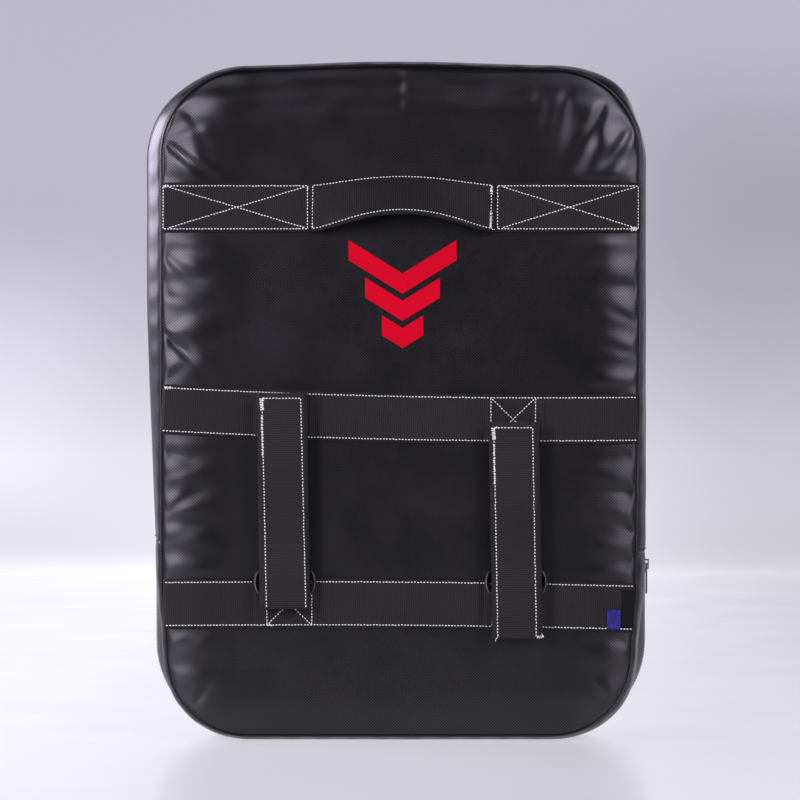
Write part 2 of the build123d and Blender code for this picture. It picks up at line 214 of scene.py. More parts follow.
def thread_material(name, cloud_scale, dark, light, rough, sheen, twist_scale, twist):
    """Sewing thread: a cloudy colour and a fine twist. twist is the bump's depth and strength."""
    n = Nodes(name)
    place = n.place()
    cloud = n.noise(place, cloud_scale, 3.0)
    n.set(Base_Color=n.ramp(cloud, dark, light))
    n.set(Roughness=n.spread(cloud, *rough), Sheen_Weight=sheen)
    n.set(Normal=n.bump(n.noise(place, twist_scale, 2.0), *twist))
    return n.material


def ring_material():
    """Satin moulded plastic, with a fine grain and handling scratches."""
    n = Nodes("ring_plastic")
    place = n.place()
    grain = n.noise(place, 1500.0, 2.0)
    scratch = n.noise(n.add("Mapping", {"Vector": place, "Scale": (60, 900, 900)}).outputs[0], 2.0, 4.0)
    cloud = n.noise(place, 70.0)
    n.set(Base_Color=n.ramp(cloud, (0.006, 0.006, 0.007), (0.014, 0.014, 0.015)))
    n.set(Roughness=n.spread(scratch, 0.26, 0.40), Specular_IOR_Level=0.5)
    n.set(Normal=n.bump(grain, 0.05 * MM, 0.35))
    return n.material


def foam_material(name, dark, light, cell):
    """Foam with open or closed cells of the given size."""
    n = Nodes(name)
    place = n.place()
    cells = n.add("TexVoronoi", {"Vector": place, "Scale": 1 / cell}).outputs["Distance"]
    cloud = n.noise(place, 30.0, 4.0)
    n.set(Base_Color=n.ramp(cloud, dark, light), Roughness=n.spread(cells, 0.8, 0.95))
    n.set(Sheen_Weight=0.1, Normal=n.bump(cells, 0.6 * MM, 0.8))
    return n.material


def zip_plastic_material():
    """The coil of a nylon zip."""
    n = Nodes("zip_plastic")
    place = n.place()
    cloud = n.noise(place, 300.0, 3.0)
    n.set(Base_Color=n.ramp(cloud, (0.010, 0.010, 0.011), (0.024, 0.024, 0.026)))
    n.set(Roughness=n.spread(cloud, 0.32, 0.46), Normal=n.bump(cloud, 0.05 * MM, 0.4))
    return n.material


def zip_metal_material():
    """Black enamel, rubbed down to grey metal in places."""
    n = Nodes("zip_metal")
    place = n.place()
    wear = n.noise(place, 420.0, 5.0, 0.7)
    bare = n.add("MapRange", {"Value": wear, "From Min": 0.62, "From Max": 0.70}).outputs["Result"]
    n.set(Base_Color=n.ramp(bare, (0.030, 0.030, 0.033), (0.33, 0.32, 0.31), at=(0.2, 0.8)))
    n.set(Metallic=bare, Roughness=n.spread(wear, 0.30, 0.48))
    n.set(Normal=n.bump(wear, 0.05 * MM, 0.4))
    return n.material


def tape_material():
    """The herringbone weave of a zip's tape."""
    n = Nodes("zip_tape")
    place, along = n.place(), n.surface()
    u, v, _ = n.axes(along)
    weave = n.math("ADD", n.wave(n.math("ADD", u, v), 1.1 * MM), n.wave(n.math("SUBTRACT", u, v), 1.1 * MM))
    cloud = n.noise(place, 120.0)
    n.set(Base_Color=n.ramp(cloud, (0.010, 0.010, 0.011), (0.022, 0.022, 0.024)))
    n.set(Roughness=n.spread(cloud, 0.75, 0.9), Sheen_Weight=0.15)
    n.set(Normal=n.bump(weave, 0.08 * MM, 0.8))
    return n.material


def print_material():
    """Red screen print on the cover, which lets the weave through."""
    n = Nodes("red_print")
    place = n.place()
    x, _, z = n.axes(place)
    weave = n.math("MULTIPLY", n.wave(x, WEAVE_PITCH), n.wave(z, WEAVE_PITCH))
    cloud = n.noise(place, 35.0, 4.0)
    n.set(Base_Color=n.ramp(cloud, (0.560, 0.0002, 0.013), (0.630, 0.0004, 0.016)))
    n.set(Roughness=n.spread(cloud, 0.54, 0.64), Normal=n.bump(weave, 0.04 * MM, 0.6))
    n.set(Specular_IOR_Level=0.06)
    return n.material


def label_material(name, dark, light):
    """Woven satin label, with fine weft lines, their colour painted lighter on the ridges and darker between
    them as painted shade.
    """
    n = Nodes(name)
    place = n.place()
    _, _, z = n.axes(place)
    weft = n.wave(z, 0.5 * MM)
    cloud = n.noise(place, 260.0, 3.0)
    # Painted shade: the colour follows the weft's bump, lighter on its ridges and darker between them, over a
    # random tone
    tone_and_painted_shade = n.math("ADD", n.math("MULTIPLY", weft, 0.15), cloud)
    n.set(Base_Color=n.ramp(tone_and_painted_shade, dark, light), Roughness=n.spread(cloud, 0.48, 0.60))
    n.set(Specular_IOR_Level=0.12, Normal=n.bump(weft, 0.05 * MM, 0.7))
    return n.material


PVC = pvc_material("cover_pvc", 0.075 * MM)
GUSSET_PVC = pvc_material("gusset_pvc", 0.03 * MM)
WEBBING = webbing_material()
THREAD = thread_material("white_thread", 60.0, (0.78, 0.78, 0.70), (0.95, 0.95, 0.87), (0.5, 0.7), 0.2,
                         2400.0, (0.12 * MM, 0.7))
BLACK_THREAD = thread_material("black_thread", 80.0, (0.006, 0.006, 0.007), (0.018, 0.017, 0.019),
                               (0.5, 0.65), 0.15, 2200.0, (0.1 * MM, 0.6))
RING_PLASTIC = ring_material()
CORE_FOAM = foam_material("foam_core", (0.60, 0.57, 0.47), (0.76, 0.73, 0.64), 1.6 * MM)
DENSE_FOAM = foam_material("foam_dense", (0.24, 0.25, 0.27), (0.36, 0.37, 0.39), 0.8 * MM)
ZIP_PLASTIC = zip_plastic_material()
ZIP_METAL = zip_metal_material()
ZIP_TAPE = tape_material()
RED_PRINT = print_material()
BLACK_LABEL = label_material("label_black", (0.0022, 0.0020, 0.0024), (0.0070, 0.0066, 0.0080))
BLUE_LABEL = label_material("label_blue", (0.016, 0.014, 0.110), (0.040, 0.036, 0.280))


# ---------------------------------------------------------------- mesh helpers


def make_piece(name, verts, faces, material, grid=None):
    """A smooth mesh piece. grid gives each vertex its metres along and across the cloth."""
    mesh = bpy.data.meshes.new(name)
    mesh.from_pydata([tuple(p) for p in verts], [], faces)
    mesh.update()
    mesh.materials.append(material)
    mesh.polygons.foreach_set("use_smooth", [True] * len(mesh.polygons))
    if grid is not None:
        layer = mesh.attributes.new("cloth_grid", "FLOAT_VECTOR", "POINT")
        layer.data.foreach_set("vector", np.array(grid, np.float32).ravel())
    piece = bpy.data.objects.new(name, mesh)
    bpy.context.scene.collection.objects.link(piece)
    return piece


def fix_normals(piece):
    """Makes every face of a closed piece look outwards."""
    bm = bmesh.new()
    bm.from_mesh(piece.data)
    bmesh.ops.recalc_face_normals(bm, faces=bm.faces)
    bm.to_mesh(piece.data)
    bm.free()


def settle(piece, body, slot, *nodes):
    """The piece rides on a body and stands for CAD nodes, which it hides; slot is not used."""
    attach(piece, body)
    if nodes:
        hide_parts(*nodes)


def apply_modifier(piece, kind, **settings):
    """Adds a modifier and applies it at once."""
    modifier = piece.modifiers.new(kind.lower(), kind)
    for key, value in settings.items():
        setattr(modifier, key, value)
    bpy.context.view_layer.objects.active = piece
    with bpy.context.temp_override(object=piece, active_object=piece, selected_objects=[piece]):
        bpy.ops.object.modifier_apply(modifier=modifier.name)


def strip_faces(rows, columns, closed=False):
    """Quads of a grid with the given numbers of points, rows by columns, around if closed."""
    faces = []
    for r in range(rows - 1):
        for c in range(columns if closed else columns - 1):
            d = (c + 1) % columns
            faces.append((r * columns + c, r * columns + d, (r + 1) * columns + d, (r + 1) * columns + c))
    return faces


def capped_strip(rows, across):
    """Faces of a flat closed strip with the given cells across each of its two sides, ends capped."""
    around = 2 * (across + 1)
    faces = strip_faces(rows, around, closed=True)
    for base in (0, (rows - 1) * around):
        far = base + around - 1
        faces += [(base + k, base + k + 1, far - 1 - k, far - k) for k in range(across)]
    return faces


# ---------------------------------------------------------------- the cover's form


def rounded_outline(width, height, radius):
    """Points (x, height above the middle) of a rounded rectangle, from its lower left, anticlockwise."""
    hw, hh = width / 2, height / 2
    sides = [((-hw + radius, -hh), (hw - radius, -hh)), ((hw, -hh + radius), (hw, hh - radius)),
             ((hw - radius, hh), (-hw + radius, hh)), ((-hw, hh - radius), (-hw, -hh + radius))]
    centres = [(hw - radius, -hh + radius), (hw - radius, hh - radius),
               (-hw + radius, hh - radius), (-hw + radius, -hh + radius)]
    points = []
    for k, (start, end) in enumerate(sides):
        cells = CELLS_X if k % 2 == 0 else CELLS_Z
        points += [(mix(start[0], end[0], i / cells), mix(start[1], end[1], i / cells)) for i in range(cells)]
        for i in range(CELLS_CORNER):
            angle = math.pi / 2 * (k - 1 + i / CELLS_CORNER)
            cx, cy = centres[k]
            points.append((cx + radius * math.cos(angle), cy + radius * math.sin(angle)))
    return points


SEAM_LINE = rounded_outline(SEAM_W, SEAM_H, SEAM_R)
BELLY_LINE = rounded_outline(BELLY_W, BELLY_H, BELLY_R)
AROUND = len(SEAM_LINE)

# How the stuffed shield departs from its pattern: it narrows towards its base, and its body
# leans against the back panel's outline
WAIST_TOP, WAIST_RUN, WAIST = 0.45, 0.30, 0.013
FOOT_Z, FOOT_RUN, FOOT = 0.090, 0.046, 0.032
SEAM_SHARE, SEAM_DRIFT = 0.6, -1.7 * MM
BODY_LEAN, LEAN_LOW, LEAN_HIGH = -5.5 * MM, 0.17, 0.46
FULL_X, FULL_Z, FULL_RUN, FULL = 0.212, 0.648, 0.040, 7.0 * MM
TOP_BOW, TOP_BOW_RUN = 4.0 * MM, 0.17


def narrowing(z):
    foot = FOOT * math.exp(-(((z - FOOT_Z) / FOOT_RUN) ** 2))
    return WAIST * smooth((WAIST_TOP - z) / WAIST_RUN) + foot


def seam_shape(x, z):
    """Where the back seam's pattern point (x, z) lies on the stuffed shield."""
    drift = SEAM_DRIFT * smooth((WAIST_TOP - z) / WAIST_RUN)
    return x * (1 - SEAM_SHARE * narrowing(z)) + drift, z


def body_shape(x, z):
    """Where the body's pattern point (x, z) lies on the stuffed shield."""
    lean = BODY_LEAN * smooth((z - LEAN_LOW) / (LEAN_HIGH - LEAN_LOW)) * smooth((BELLY_H - z) / 0.05)
    full = FULL * math.exp(-((x - FULL_X) ** 2 + (z - FULL_Z) ** 2) / FULL_RUN ** 2)
    return x * (1 - narrowing(z)) + lean + full, z + 0.25 * full


def shaped(x, z, y):
    """The stuffed shield's (x, z) for a pattern point at depth y."""
    back = 1 - smooth((y + 20 * MM) / (30 * MM))
    body = smooth((y + SEAM_Y) / (SEAM_Y - BELLY_Y))
    sx, sz = seam_shape(x, z)
    bx, bz = body_shape(x, z)
    bow = TOP_BOW * smooth(abs(x) / TOP_BOW_RUN) * smooth((z - MID_Z) / MID_Z * 1.6 - 0.5)
    px, pz = mix(sx, bx, body), mix(sz, bz, body) - bow
    return mix(x, px, back), mix(z, pz, back)


def pattern_x(x, z):
    """The pattern's x of a place on the back panel."""
    drift = SEAM_DRIFT * smooth((WAIST_TOP - z) / WAIST_RUN)
    return (x - drift) / (1 - SEAM_SHARE * narrowing(z))


def seam_x(side, z):
    """The back seam's x at height z, on the left (-1) or right (1)."""
    return seam_shape(side * SEAM_W / 2, z)[0]


def seam_distance(x, z):
    """How far a pattern point of a panel lies inside its seam."""
    dx = abs(x) - (SEAM_W / 2 - SEAM_R)
    dz = abs(z - MID_Z) - (SEAM_H / 2 - SEAM_R)
    corner = math.hypot(max(dx, 0), max(dz, 0))
    return SEAM_R - corner - min(max(dx, dz), 0)


EDGE_RUN, EDGE_DROP = 42 * MM, PANEL_Y - SEAM_Y
ROLL_RUN, ROLL_SHARE = 6 * MM, 0.38
SLOPE_POWER = 1.8


def edge_lift(d):
    """The stuffed panel's lift at d inside its seam: a tight roll, then a long easy slope."""
    roll = math.sqrt(max(0.0, 1 - (1 - min(d / ROLL_RUN, 1)) ** 2))
    slope = 1 - (1 - min(d / EDGE_RUN, 1)) ** SLOPE_POWER
    return -EDGE_DROP * (1 - ROLL_SHARE * roll - (1 - ROLL_SHARE) * slope)


# Folds that run in from the seam: start x and z, direction in degrees, length, depth, width
BACK_FOLDS = [
    (-237, 602, 24, 50, 3.4, 7), (-237, 600, -38, 92, 4.0, 10), (-231, 640, -30, 56, 1.8, 10),
    (-212, 630, -62, 76, 1.6, 12), (-237, 566, -30, 44, 1.6, 8), (-237, 484, -38, 62, 3.0, 11),
    (-237, 442, -6, 48, 2.2, 9), (-237, 407, 32, 36, 2.0, 7), (-237, 407, -42, 80, 3.4, 10),
    (-237, 462, -72, 50, 1.8, 10), (-237, 356, 34, 46, 1.8, 9),
    (166, 655, -102, 96, 2.2, 15), (204, 642, -114, 120, 3.4, 16), (232, 616, -124, 128, 3.4, 15),
    (237, 574, -150, 60, 1.6, 12), (138, 658, -94, 80, 1.2, 15), (237, 496, 168, 66, 2.0, 11),
    (237, 452, 178, 60, 2.0, 10), (237, 416, 158, 58, 2.2, 9), (237, 384, 166, 70, 2.6, 11),
    (237, 354, 192, 46, 1.8, 9), (-237, 292, -25, 56, 2.4, 10), (-237, 264, 14, 42, 1.8, 9),
    (-237, 226, 30, 62, 2.2, 10), (-237, 200, 10, 36, 1.4, 8), (237, 290, 202, 54, 2.2, 10),
    (237, 246, 168, 62, 2.4, 11), (237, 208, 152, 46, 1.8, 9), (237, 180, 176, 36, 1.2, 8),
    (-233, 92, 18, 50, 1.4, 10), (-205, 38, 58, 44, 1.3, 10), (212, 42, 122, 44, 1.3, 10),
    (234, 96, 160, 44, 1.2, 9),
]
STRIKE_FOLDS = [
    (-236, 590, -20, 60, 1.8, 9), (-210, 640, -60, 56, 1.5, 9), (-236, 470, 10, 50, 1.4, 9),
    (-236, 330, -14, 56, 1.4, 9), (-236, 210, 20, 50, 1.3, 9), (-200, 40, 50, 52, 1.4, 9),
    (236, 602, 205, 62, 1.8, 9), (204, 642, 238, 52, 1.4, 9), (236, 430, 172, 54, 1.5, 9),
    (236, 300, 190, 50, 1.3, 9), (236, 160, 165, 56, 1.4, 9), (196, 38, 128, 48, 1.3, 9),
]


def fold_lift(folds, x, z):
    """The dents of a list of folds at a place, with a small ridge beside each."""
    total = 0.0
    for fx, fz, degrees, length, depth, width in folds:
        dx, dz = x - fx * MM, z - fz * MM
        c, s = math.cos(math.radians(degrees)), math.sin(math.radians(degrees))
        along, across = dx * c + dz * s, dz * c - dx * s
        reach = along / (length * MM)
        if not -0.05 < reach < 1.0:
            continue
        spread = width * MM * (0.22 + 0.9 * max(reach, 0))
        if abs(across) > 4 * spread:
            continue
        fade = smooth(reach / 0.12) * (1 - smooth((reach - 0.35) / 0.65))
        q = (across / spread) ** 2
        total -= depth * MM * fade * (math.exp(-q) - 0.45 * math.exp(-q / 3.2))
    return total


RIPPLE_PITCH, RIPPLE = 34 * MM, 0.9 * MM


def ripple_lift(x, z, d, seed):
    """The gathered cloth's ripples, which run in from the seam and end on the foam's edge."""
    warp = noise.noise(Vector((x * 9, z * 9, seed))) * 0.35
    wave = math.sin(2 * math.pi * (z / RIPPLE_PITCH + warp) + seed + (x > 0) * 1.7)
    small = noise.noise(Vector((x * 34, z * 34, seed + 5)))
    window = smooth(d / (10 * MM)) * (1 - smooth((d - 34 * MM) / (26 * MM)))
    broad = noise.noise(Vector((x * 5, z * 5, seed + 9)))
    return window * (RIPPLE * wave + 0.6 * MM * small) + 0.45 * MM * broad * smooth(d / (30 * MM))


# Each band's node, and its middle line's offset, slope and bend: offset + slope x + bend x^2, in mm
BAND_NODE = {"top": "top_band_left", "middle": "middle_band", "lower": "lower_band"}
BAND_SWAY = {"top": (0.0, 0.0, 0.0), "middle": (-2.6, -20.5, 70.3), "lower": (0.5, -8.0, -45.0)}


def band_line(kind, x):
    """The height of a band's middle line at x; hand-laid webbing never runs quite straight."""
    start, slope, bend = BAND_SWAY[kind]
    return BAND_Z[BAND_NODE[kind]] + (start + slope * x + bend * x * x) * MM


PRESS_DEPTH = 0.35 * MM


def band_cover(x, z):
    """1 under a sewn band, falling to 0 a little way off its edges."""
    most = 0.0
    for kind in ("top", "middle", "lower"):
        if kind == "top" and abs(x - HANDLE_X) < HANDLE_HALF:
            continue
        off = abs(z - band_line(kind, x)) - HALF_WEB
        most = max(most, 1 - smooth((off - 1.5 * MM) / (9 * MM)))
    return most


HANDLE_LOW, HANDLE_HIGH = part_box("handle_left_end")[0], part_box("handle_right_end")[1]
HANDLE_X = (HANDLE_LOW.x + HANDLE_HIGH.x) / 2
HANDLE_HALF = (HANDLE_HIGH.x - HANDLE_LOW.x) / 2 + 0.3 * MM
EMBLEM_LOW, EMBLEM_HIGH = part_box("emblem")


# The lowest part of the panel lies smoother than the rest
CALM_SHARE = 0.25
# The cloth stands proud of the bands over the foam's edge, most of all in the upper corners
PUFF, PUFF_RISE, PUFF_FALL = 2.3 * MM, 36 * MM, 60 * MM
SLACK_CORNERS = ((-195 * MM, 590 * MM, 62 * MM), (190 * MM, 600 * MM, 72 * MM))


def corner_slack(x, z):
    """How near a place is to one of the slack upper corners."""
    return max(math.exp(-((x - cx) ** 2 + (z - cz) ** 2) / reach ** 2) for cx, cz, reach in SLACK_CORNERS)


def quiet_middle(x, z):
    """0 where the panel lies flat under the emblem, the handle's reach and the straps' tabs."""
    ex = abs(x - HANDLE_X) - (EMBLEM_HIGH.x - EMBLEM_LOW.x) / 2 - 4 * MM
    ez = max(EMBLEM_LOW.z - z, z - EMBLEM_HIGH.z) - 4 * MM
    return smooth(math.hypot(max(ex, 0), max(ez, 0)) / (70 * MM))


def back_lift(x, z):
    """The back panel's lift at a pattern place."""
    d = seam_distance(x, z)
    base = edge_lift(d)
    px, pz = seam_shape(x, z)
    pressed = band_cover(px, pz)
    calm = mix(CALM_SHARE, 1.0, smooth(max((z - 70 * MM) / (90 * MM), (abs(x) - 165 * MM) / (40 * MM))))
    loose = fold_lift(BACK_FOLDS, x, z) + calm * ripple_lift(x, z, d, 2.0)
    upper = smooth((z - 240 * MM) / (200 * MM))
    rise = PUFF_RISE * mix(0.62, 1.0, upper)
    puff = PUFF * mix(0.5, 1.0, upper) * smooth(d / rise) * (1 - 0.85 * smooth((d - rise) / PUFF_FALL))
    puff *= (1 + 0.9 * corner_slack(x, z)) * mix(0.25, 1.0, smooth((abs(x) - 120 * MM) / (75 * MM)))
    loose = min(loose, 2.4 * MM) * smooth(d / (5 * MM))
    return base + (1 - pressed) * quiet_middle(x, z) * (loose + puff) - PRESS_DEPTH


def strike_lift(x, z):
    """The strike panel's lift: plain, a little crowned, gathered at its seam."""
    d = seam_distance(x, z)
    loose = fold_lift(STRIKE_FOLDS, x, z) + ripple_lift(x, z, d, 31.0)
    crown = 2.2 * MM * smooth((d - 10 * MM) / (150 * MM))
    return edge_lift(d) + min(loose, 1.8 * MM) * smooth(d / (5 * MM)) + crown


# ---------------------------------------------------------------- the cover's panels

RINGS = 20
RING_INSET = 70 * MM


def panel_grid():
    """Pattern points (x, z) of a panel, row by row: rings in from the seam, then a square middle."""
    hw, hh = SEAM_W / 2 - RING_INSET, SEAM_H / 2 - RING_INSET
    half = CELLS_CORNER // 2
    cells_x, cells_z = CELLS_X + CELLS_CORNER, CELLS_Z + CELLS_CORNER
    edge = []
    edge += [(mix(-hw, hw, i / cells_x), -hh) for i in range(cells_x)]
    edge += [(hw, mix(-hh, hh, i / cells_z)) for i in range(cells_z)]
    edge += [(mix(hw, -hw, i / cells_x), hh) for i in range(cells_x)]
    edge += [(-hw, mix(hh, -hh, i / cells_z)) for i in range(cells_z)]
    points = []
    for r in range(RINGS + 1):
        t = (r / RINGS) ** 1.45
        for i in range(AROUND):
            inner = edge[(i + half) % AROUND]
            outer = SEAM_LINE[i]
            points.append((mix(outer[0], inner[0], t), MID_Z + mix(outer[1], inner[1], t)))
    faces = strip_faces(RINGS + 1, AROUND, closed=True)
    last = RINGS * AROUND
    index = {}
    for i in range(AROUND):
        j = (i + half) % AROUND
        if j < cells_x:
            index[(j, 0)] = last + i
        elif j < cells_x + cells_z:
            index[(cells_x, j - cells_x)] = last + i
        elif j < 2 * cells_x + cells_z:
            index[(2 * cells_x + cells_z - j, cells_z)] = last + i
        else:
            index[(0, 2 * (cells_x + cells_z) - j)] = last + i
    for a in range(1, cells_x):
        for b in range(1, cells_z):
            index[(a, b)] = len(points)
            points.append((mix(-hw, hw, a / cells_x), MID_Z + mix(-hh, hh, b / cells_z)))
    for a in range(cells_x):
        for b in range(cells_z):
            faces.append((index[(a, b)], index[(a + 1, b)], index[(a + 1, b + 1)], index[(a, b + 1)]))
    return points, faces


CLOTH_FRAMES = 20


def cloth_relax(piece, free, pressure, excess, cap):
    """Lets a panel's loose cloth puff and buckle under pressure, held where free is 0.

    The movement is capped and kept in the piece's mesh.
    """
    rest = np.array([v.co for v in piece.data.vertices])
    pins = piece.vertex_groups.new(name="held")
    loose = piece.vertex_groups.new(name="loose")
    for i, share in enumerate(free):
        pins.add([i], 1.0 - 0.98 * share, "REPLACE")
        loose.add([i], share, "REPLACE")
    cloth = piece.modifiers.new("cloth", "CLOTH")
    values = cloth.settings
    values.quality = 5
    values.mass = 0.3
    values.tension_stiffness = values.compression_stiffness = 25
    values.shear_stiffness = 12
    values.bending_stiffness = 1.2
    values.air_damping = 2
    values.vertex_group_mass = "held"
    values.pin_stiffness = 1.0
    values.use_pressure = True
    values.uniform_pressure_force = pressure
    values.vertex_group_shrink = "loose"
    values.shrink_min = 0.0
    values.shrink_max = -excess
    values.effector_weights.gravity = 0
    cloth.point_cache.frame_start, cloth.point_cache.frame_end = 1, CLOTH_FRAMES
    for f in range(1, CLOTH_FRAMES + 1):
        bpy.context.scene.frame_set(f)
    graph = bpy.context.evaluated_depsgraph_get()
    done = piece.evaluated_get(graph).to_mesh()
    moved = np.array([v.co for v in done.vertices])
    piece.evaluated_get(graph).to_mesh_clear()
    piece.modifiers.clear()
    piece.vertex_groups.clear()
    bpy.context.scene.frame_set(1)
    shift = moved - rest
    size = np.linalg.norm(shift, axis=1)
    keep = np.minimum(1.0, cap / np.maximum(size, 1e-9)) * np.array(free)
    new = rest + shift * keep[:, None]
    piece.data.vertices.foreach_set("co", new.astype(np.float32).ravel())
    piece.data.update()
    print(f"{piece.name}: cloth moved up to {size.max() * 1000:.1f} mm, kept up to {cap * 1000:.1f} mm")


def build_panel(name, node, side, lift, shape):
    """A panel of the cover. side is -1 on the handle side and 1 on the strike side."""
    pattern, faces = panel_grid()
    verts, grid, free = [], [], []
    for x, z in pattern:
        px, pz = shape(x, z)
        verts.append((px, side * (PANEL_Y + lift(x, z)), pz))
        grid.append((x, z, 0.0))
        d = seam_distance(x, z)
        share = smooth((d - 3 * MM) / (10 * MM)) * (1 - smooth((d - 40 * MM) / (35 * MM)))
        if side < 0:
            share *= (1 - band_cover(px, pz)) * quiet_middle(x, z)
        free.append(share)
    if side > 0:
        faces = [tuple(reversed(f)) for f in faces]
    piece = make_piece(name, verts, faces, PVC, grid)
    cloth_relax(piece, free, pressure=0.6, excess=0.02, cap=2.6 * MM)
    apply_modifier(piece, "SUBSURF", levels=1)
    apply_modifier(piece, "SOLIDIFY", thickness=CLOTH_T, offset=-1.0)
    settle(piece, "cover", "cover_pvc", node)


# ---------------------------------------------------------------- the gusset

SIDE_BULGE = 1.2 * MM


def gusset_share(y):
    """How far the gusset has swelled from the seam's outline to the belly's at depth y."""
    p = min(max((SEAM_Y - abs(y)) / (SEAM_Y - BELLY_Y), 0.0), 1.0)
    return mix(p, math.sqrt(1 - (1 - p) ** 2), 0.55)


def cover_point(column, y, inset=0.0):
    """A point of the gusset at a column of the outline and depth y, and its outward direction."""
    low = int(math.floor(column)) % AROUND
    t = column - math.floor(column)
    high = (low + 1) % AROUND
    seam = [mix(SEAM_LINE[low][k], SEAM_LINE[high][k], t) for k in (0, 1)]
    belly = [mix(BELLY_LINE[low][k], BELLY_LINE[high][k], t) for k in (0, 1)]
    share = gusset_share(y)
    x, z = mix(seam[0], belly[0], share), mix(seam[1], belly[1], share)
    before, after = BELLY_LINE[low], BELLY_LINE[high]
    run = math.hypot(after[0] - before[0], after[1] - before[1])
    out = ((after[1] - before[1]) / run, -(after[0] - before[0]) / run)
    wide = max(0.0, math.cos(math.pi * y / (2 * BELLY_Y))) if abs(y) < BELLY_Y else 0.0
    bulge = SIDE_BULGE * wide * smooth((z + MID_Z - LEFT_JOINT_Z) / 0.05) - inset
    x, z = x + out[0] * bulge, z + out[1] * bulge
    px, pz = shaped(x, MID_Z + z, y)
    return Vector((px, y, max(pz, max(inset, 0.0)))), Vector((out[0], 0.0, out[1]))


LENGTHS = [0.0]
for low_point, high_point in zip(BELLY_LINE, BELLY_LINE[1:] + BELLY_LINE[:1]):
    LENGTHS.append(LENGTHS[-1] + math.hypot(high_point[0] - low_point[0], high_point[1] - low_point[1]))


def column_at(side, z):
    """The outline's column at height z on the left (-1) or right (1) side."""
    share = (z - BELLY_R) / (BELLY_H - 2 * BELLY_R)
    if side > 0:
        return CELLS_X + CELLS_CORNER + share * CELLS_Z
    return AROUND - CELLS_CORNER - share * CELLS_Z


LEFT_COLUMN, RIGHT_COLUMN = column_at(-1, LEFT_JOINT_Z), column_at(1, RIGHT_JOINT_Z)


def gusset_rows(y0, y1):
    """Depths of the gusset's rows from y0 to y1, closer together where it curves into a seam."""
    edge = [0.0, 0.04, 0.12, 0.25, 0.42, 0.62, 0.82, 1.0]
    rows = [-SEAM_Y + (SEAM_Y - BELLY_Y) * e for e in edge]
    rows += [mix(-BELLY_Y, BELLY_Y, i / 16) for i in range(1, 16)]
    rows += [-r for r in reversed(rows[: len(edge)])]
    inside = [r for r in rows if y0 + 1 * MM < r < y1 - 1 * MM]
    return [y0, *inside, y1]


def gusset_dent(column, y, seed):
    """Puckers that run in from the gusset's two seams, and soft slack between."""
    s = LENGTHS[int(column) % AROUND]
    ripple = math.sin(2 * math.pi * (s / (31 * MM) + 0.4 * noise.noise(Vector((s * 7, seed, 0)))))
    near = math.exp(-(((SEAM_Y - abs(y)) - 7 * MM) / (9 * MM)) ** 2)
    slack = noise.noise(Vector((s * 16, y * 14, seed)))
    fine = noise.noise(Vector((s * 60, y * 22, seed + 4)))
    hold = smooth((SEAM_Y - abs(y)) / (5 * MM))
    return hold * (0.35 * MM * ripple * near + 0.45 * MM * slack + 0.15 * MM * fine * near)


def build_gusset(name, node, start, end, y0, y1, seed, tuck=()):
    """One strip of the gusset, between two columns of the outline and two depths."""
    rows = gusset_rows(y0, y1)
    count = int(round(end - start))
    columns = [start + (end - start) * i / count for i in range(count + 1)]
    verts, grid = [], []
    for y in rows:
        for column in columns:
            point, out = cover_point(column, y)
            dent = gusset_dent(column, y, seed)
            ends = min(column - start, end - column)
            dent -= 0.9 * MM * math.exp(-((ends / 1.1) ** 2))
            for edge_y in tuck:
                dent -= 0.8 * MM * math.exp(-(((y - edge_y) / (1.5 * MM)) ** 2))
            p = point + out * min(dent, point.z if out.z < -0.5 else 1.0)
            p.z = max(p.z, 0.0)
            verts.append(p)
            s = LENGTHS[int(column) % AROUND] + (column - math.floor(column)) * 5 * MM
            grid.append((s, y, 0.0))
    faces = strip_faces(len(rows), len(columns))
    piece = make_piece(name, verts, faces, GUSSET_PVC, grid)
    fix_normals(piece)
    outward = piece.data.polygons[0].normal.dot(Vector(verts[0]) - Vector((0, verts[0].y, MID_Z)))
    if outward < 0:
        piece.data.flip_normals()
    apply_modifier(piece, "SUBSURF", levels=1)
    apply_modifier(piece, "SOLIDIFY", thickness=CLOTH_T, offset=-1.0)
    settle(piece, "cover", "cover_pvc", node)


def tube(name, path, radius, material, sides=10, wobble=None):
    """A closed tube round a list of points, with an optional radius factor for each."""
    count = len(path)
    verts, grid, run = [], [], 0.0
    for i, p in enumerate(path):
        ahead = path[(i + 1) % count]
        tangent = (ahead - path[i - 1]).normalized()
        side = tangent.cross(Vector((0, 1, 0)))
        if side.length < 0.1:
            side = tangent.cross(Vector((1, 0, 0)))
        side.normalize()
        up = side.cross(tangent).normalized()
        r = radius * (wobble[i] if wobble else 1.0)
        for k in range(sides):
            a = 2 * math.pi * k / sides
            verts.append(p + side * math.cos(a) * r + up * math.sin(a) * r)
            grid.append((run, radius * a, 0.0))
        run += (ahead - p).length
    faces = strip_faces(count, sides, closed=True)
    last = (count - 1) * sides
    faces += [(last + k, last + (k + 1) % sides, (k + 1) % sides, k) for k in range(sides)]
    piece = make_piece(name, verts, faces, material, grid)
    fix_normals(piece)
    return piece


WELT_R = 1.25 * MM


def build_welt(name, node, side):
    """The sewn-in edge between a panel and the gusset, with the nicks that its gathers leave."""
    path, wobble = [], []
    for i in range(AROUND * 2):
        column = i / 2
        point, out = cover_point(column, side * SEAM_Y)
        s = LENGTHS[int(column) % AROUND]
        nick = noise.noise(Vector((s * 55, side * 3.0, 1.0)))
        path.append(point + out * 0.7 * MM + Vector((0, side * (-0.35 + 0.25 * nick) * MM, 0)))
        wobble.append(1.0 + 0.16 * nick)
    piece = tube(name, path, WELT_R, PVC, wobble=wobble)
    settle(piece, "cover", "cover_pvc", node)


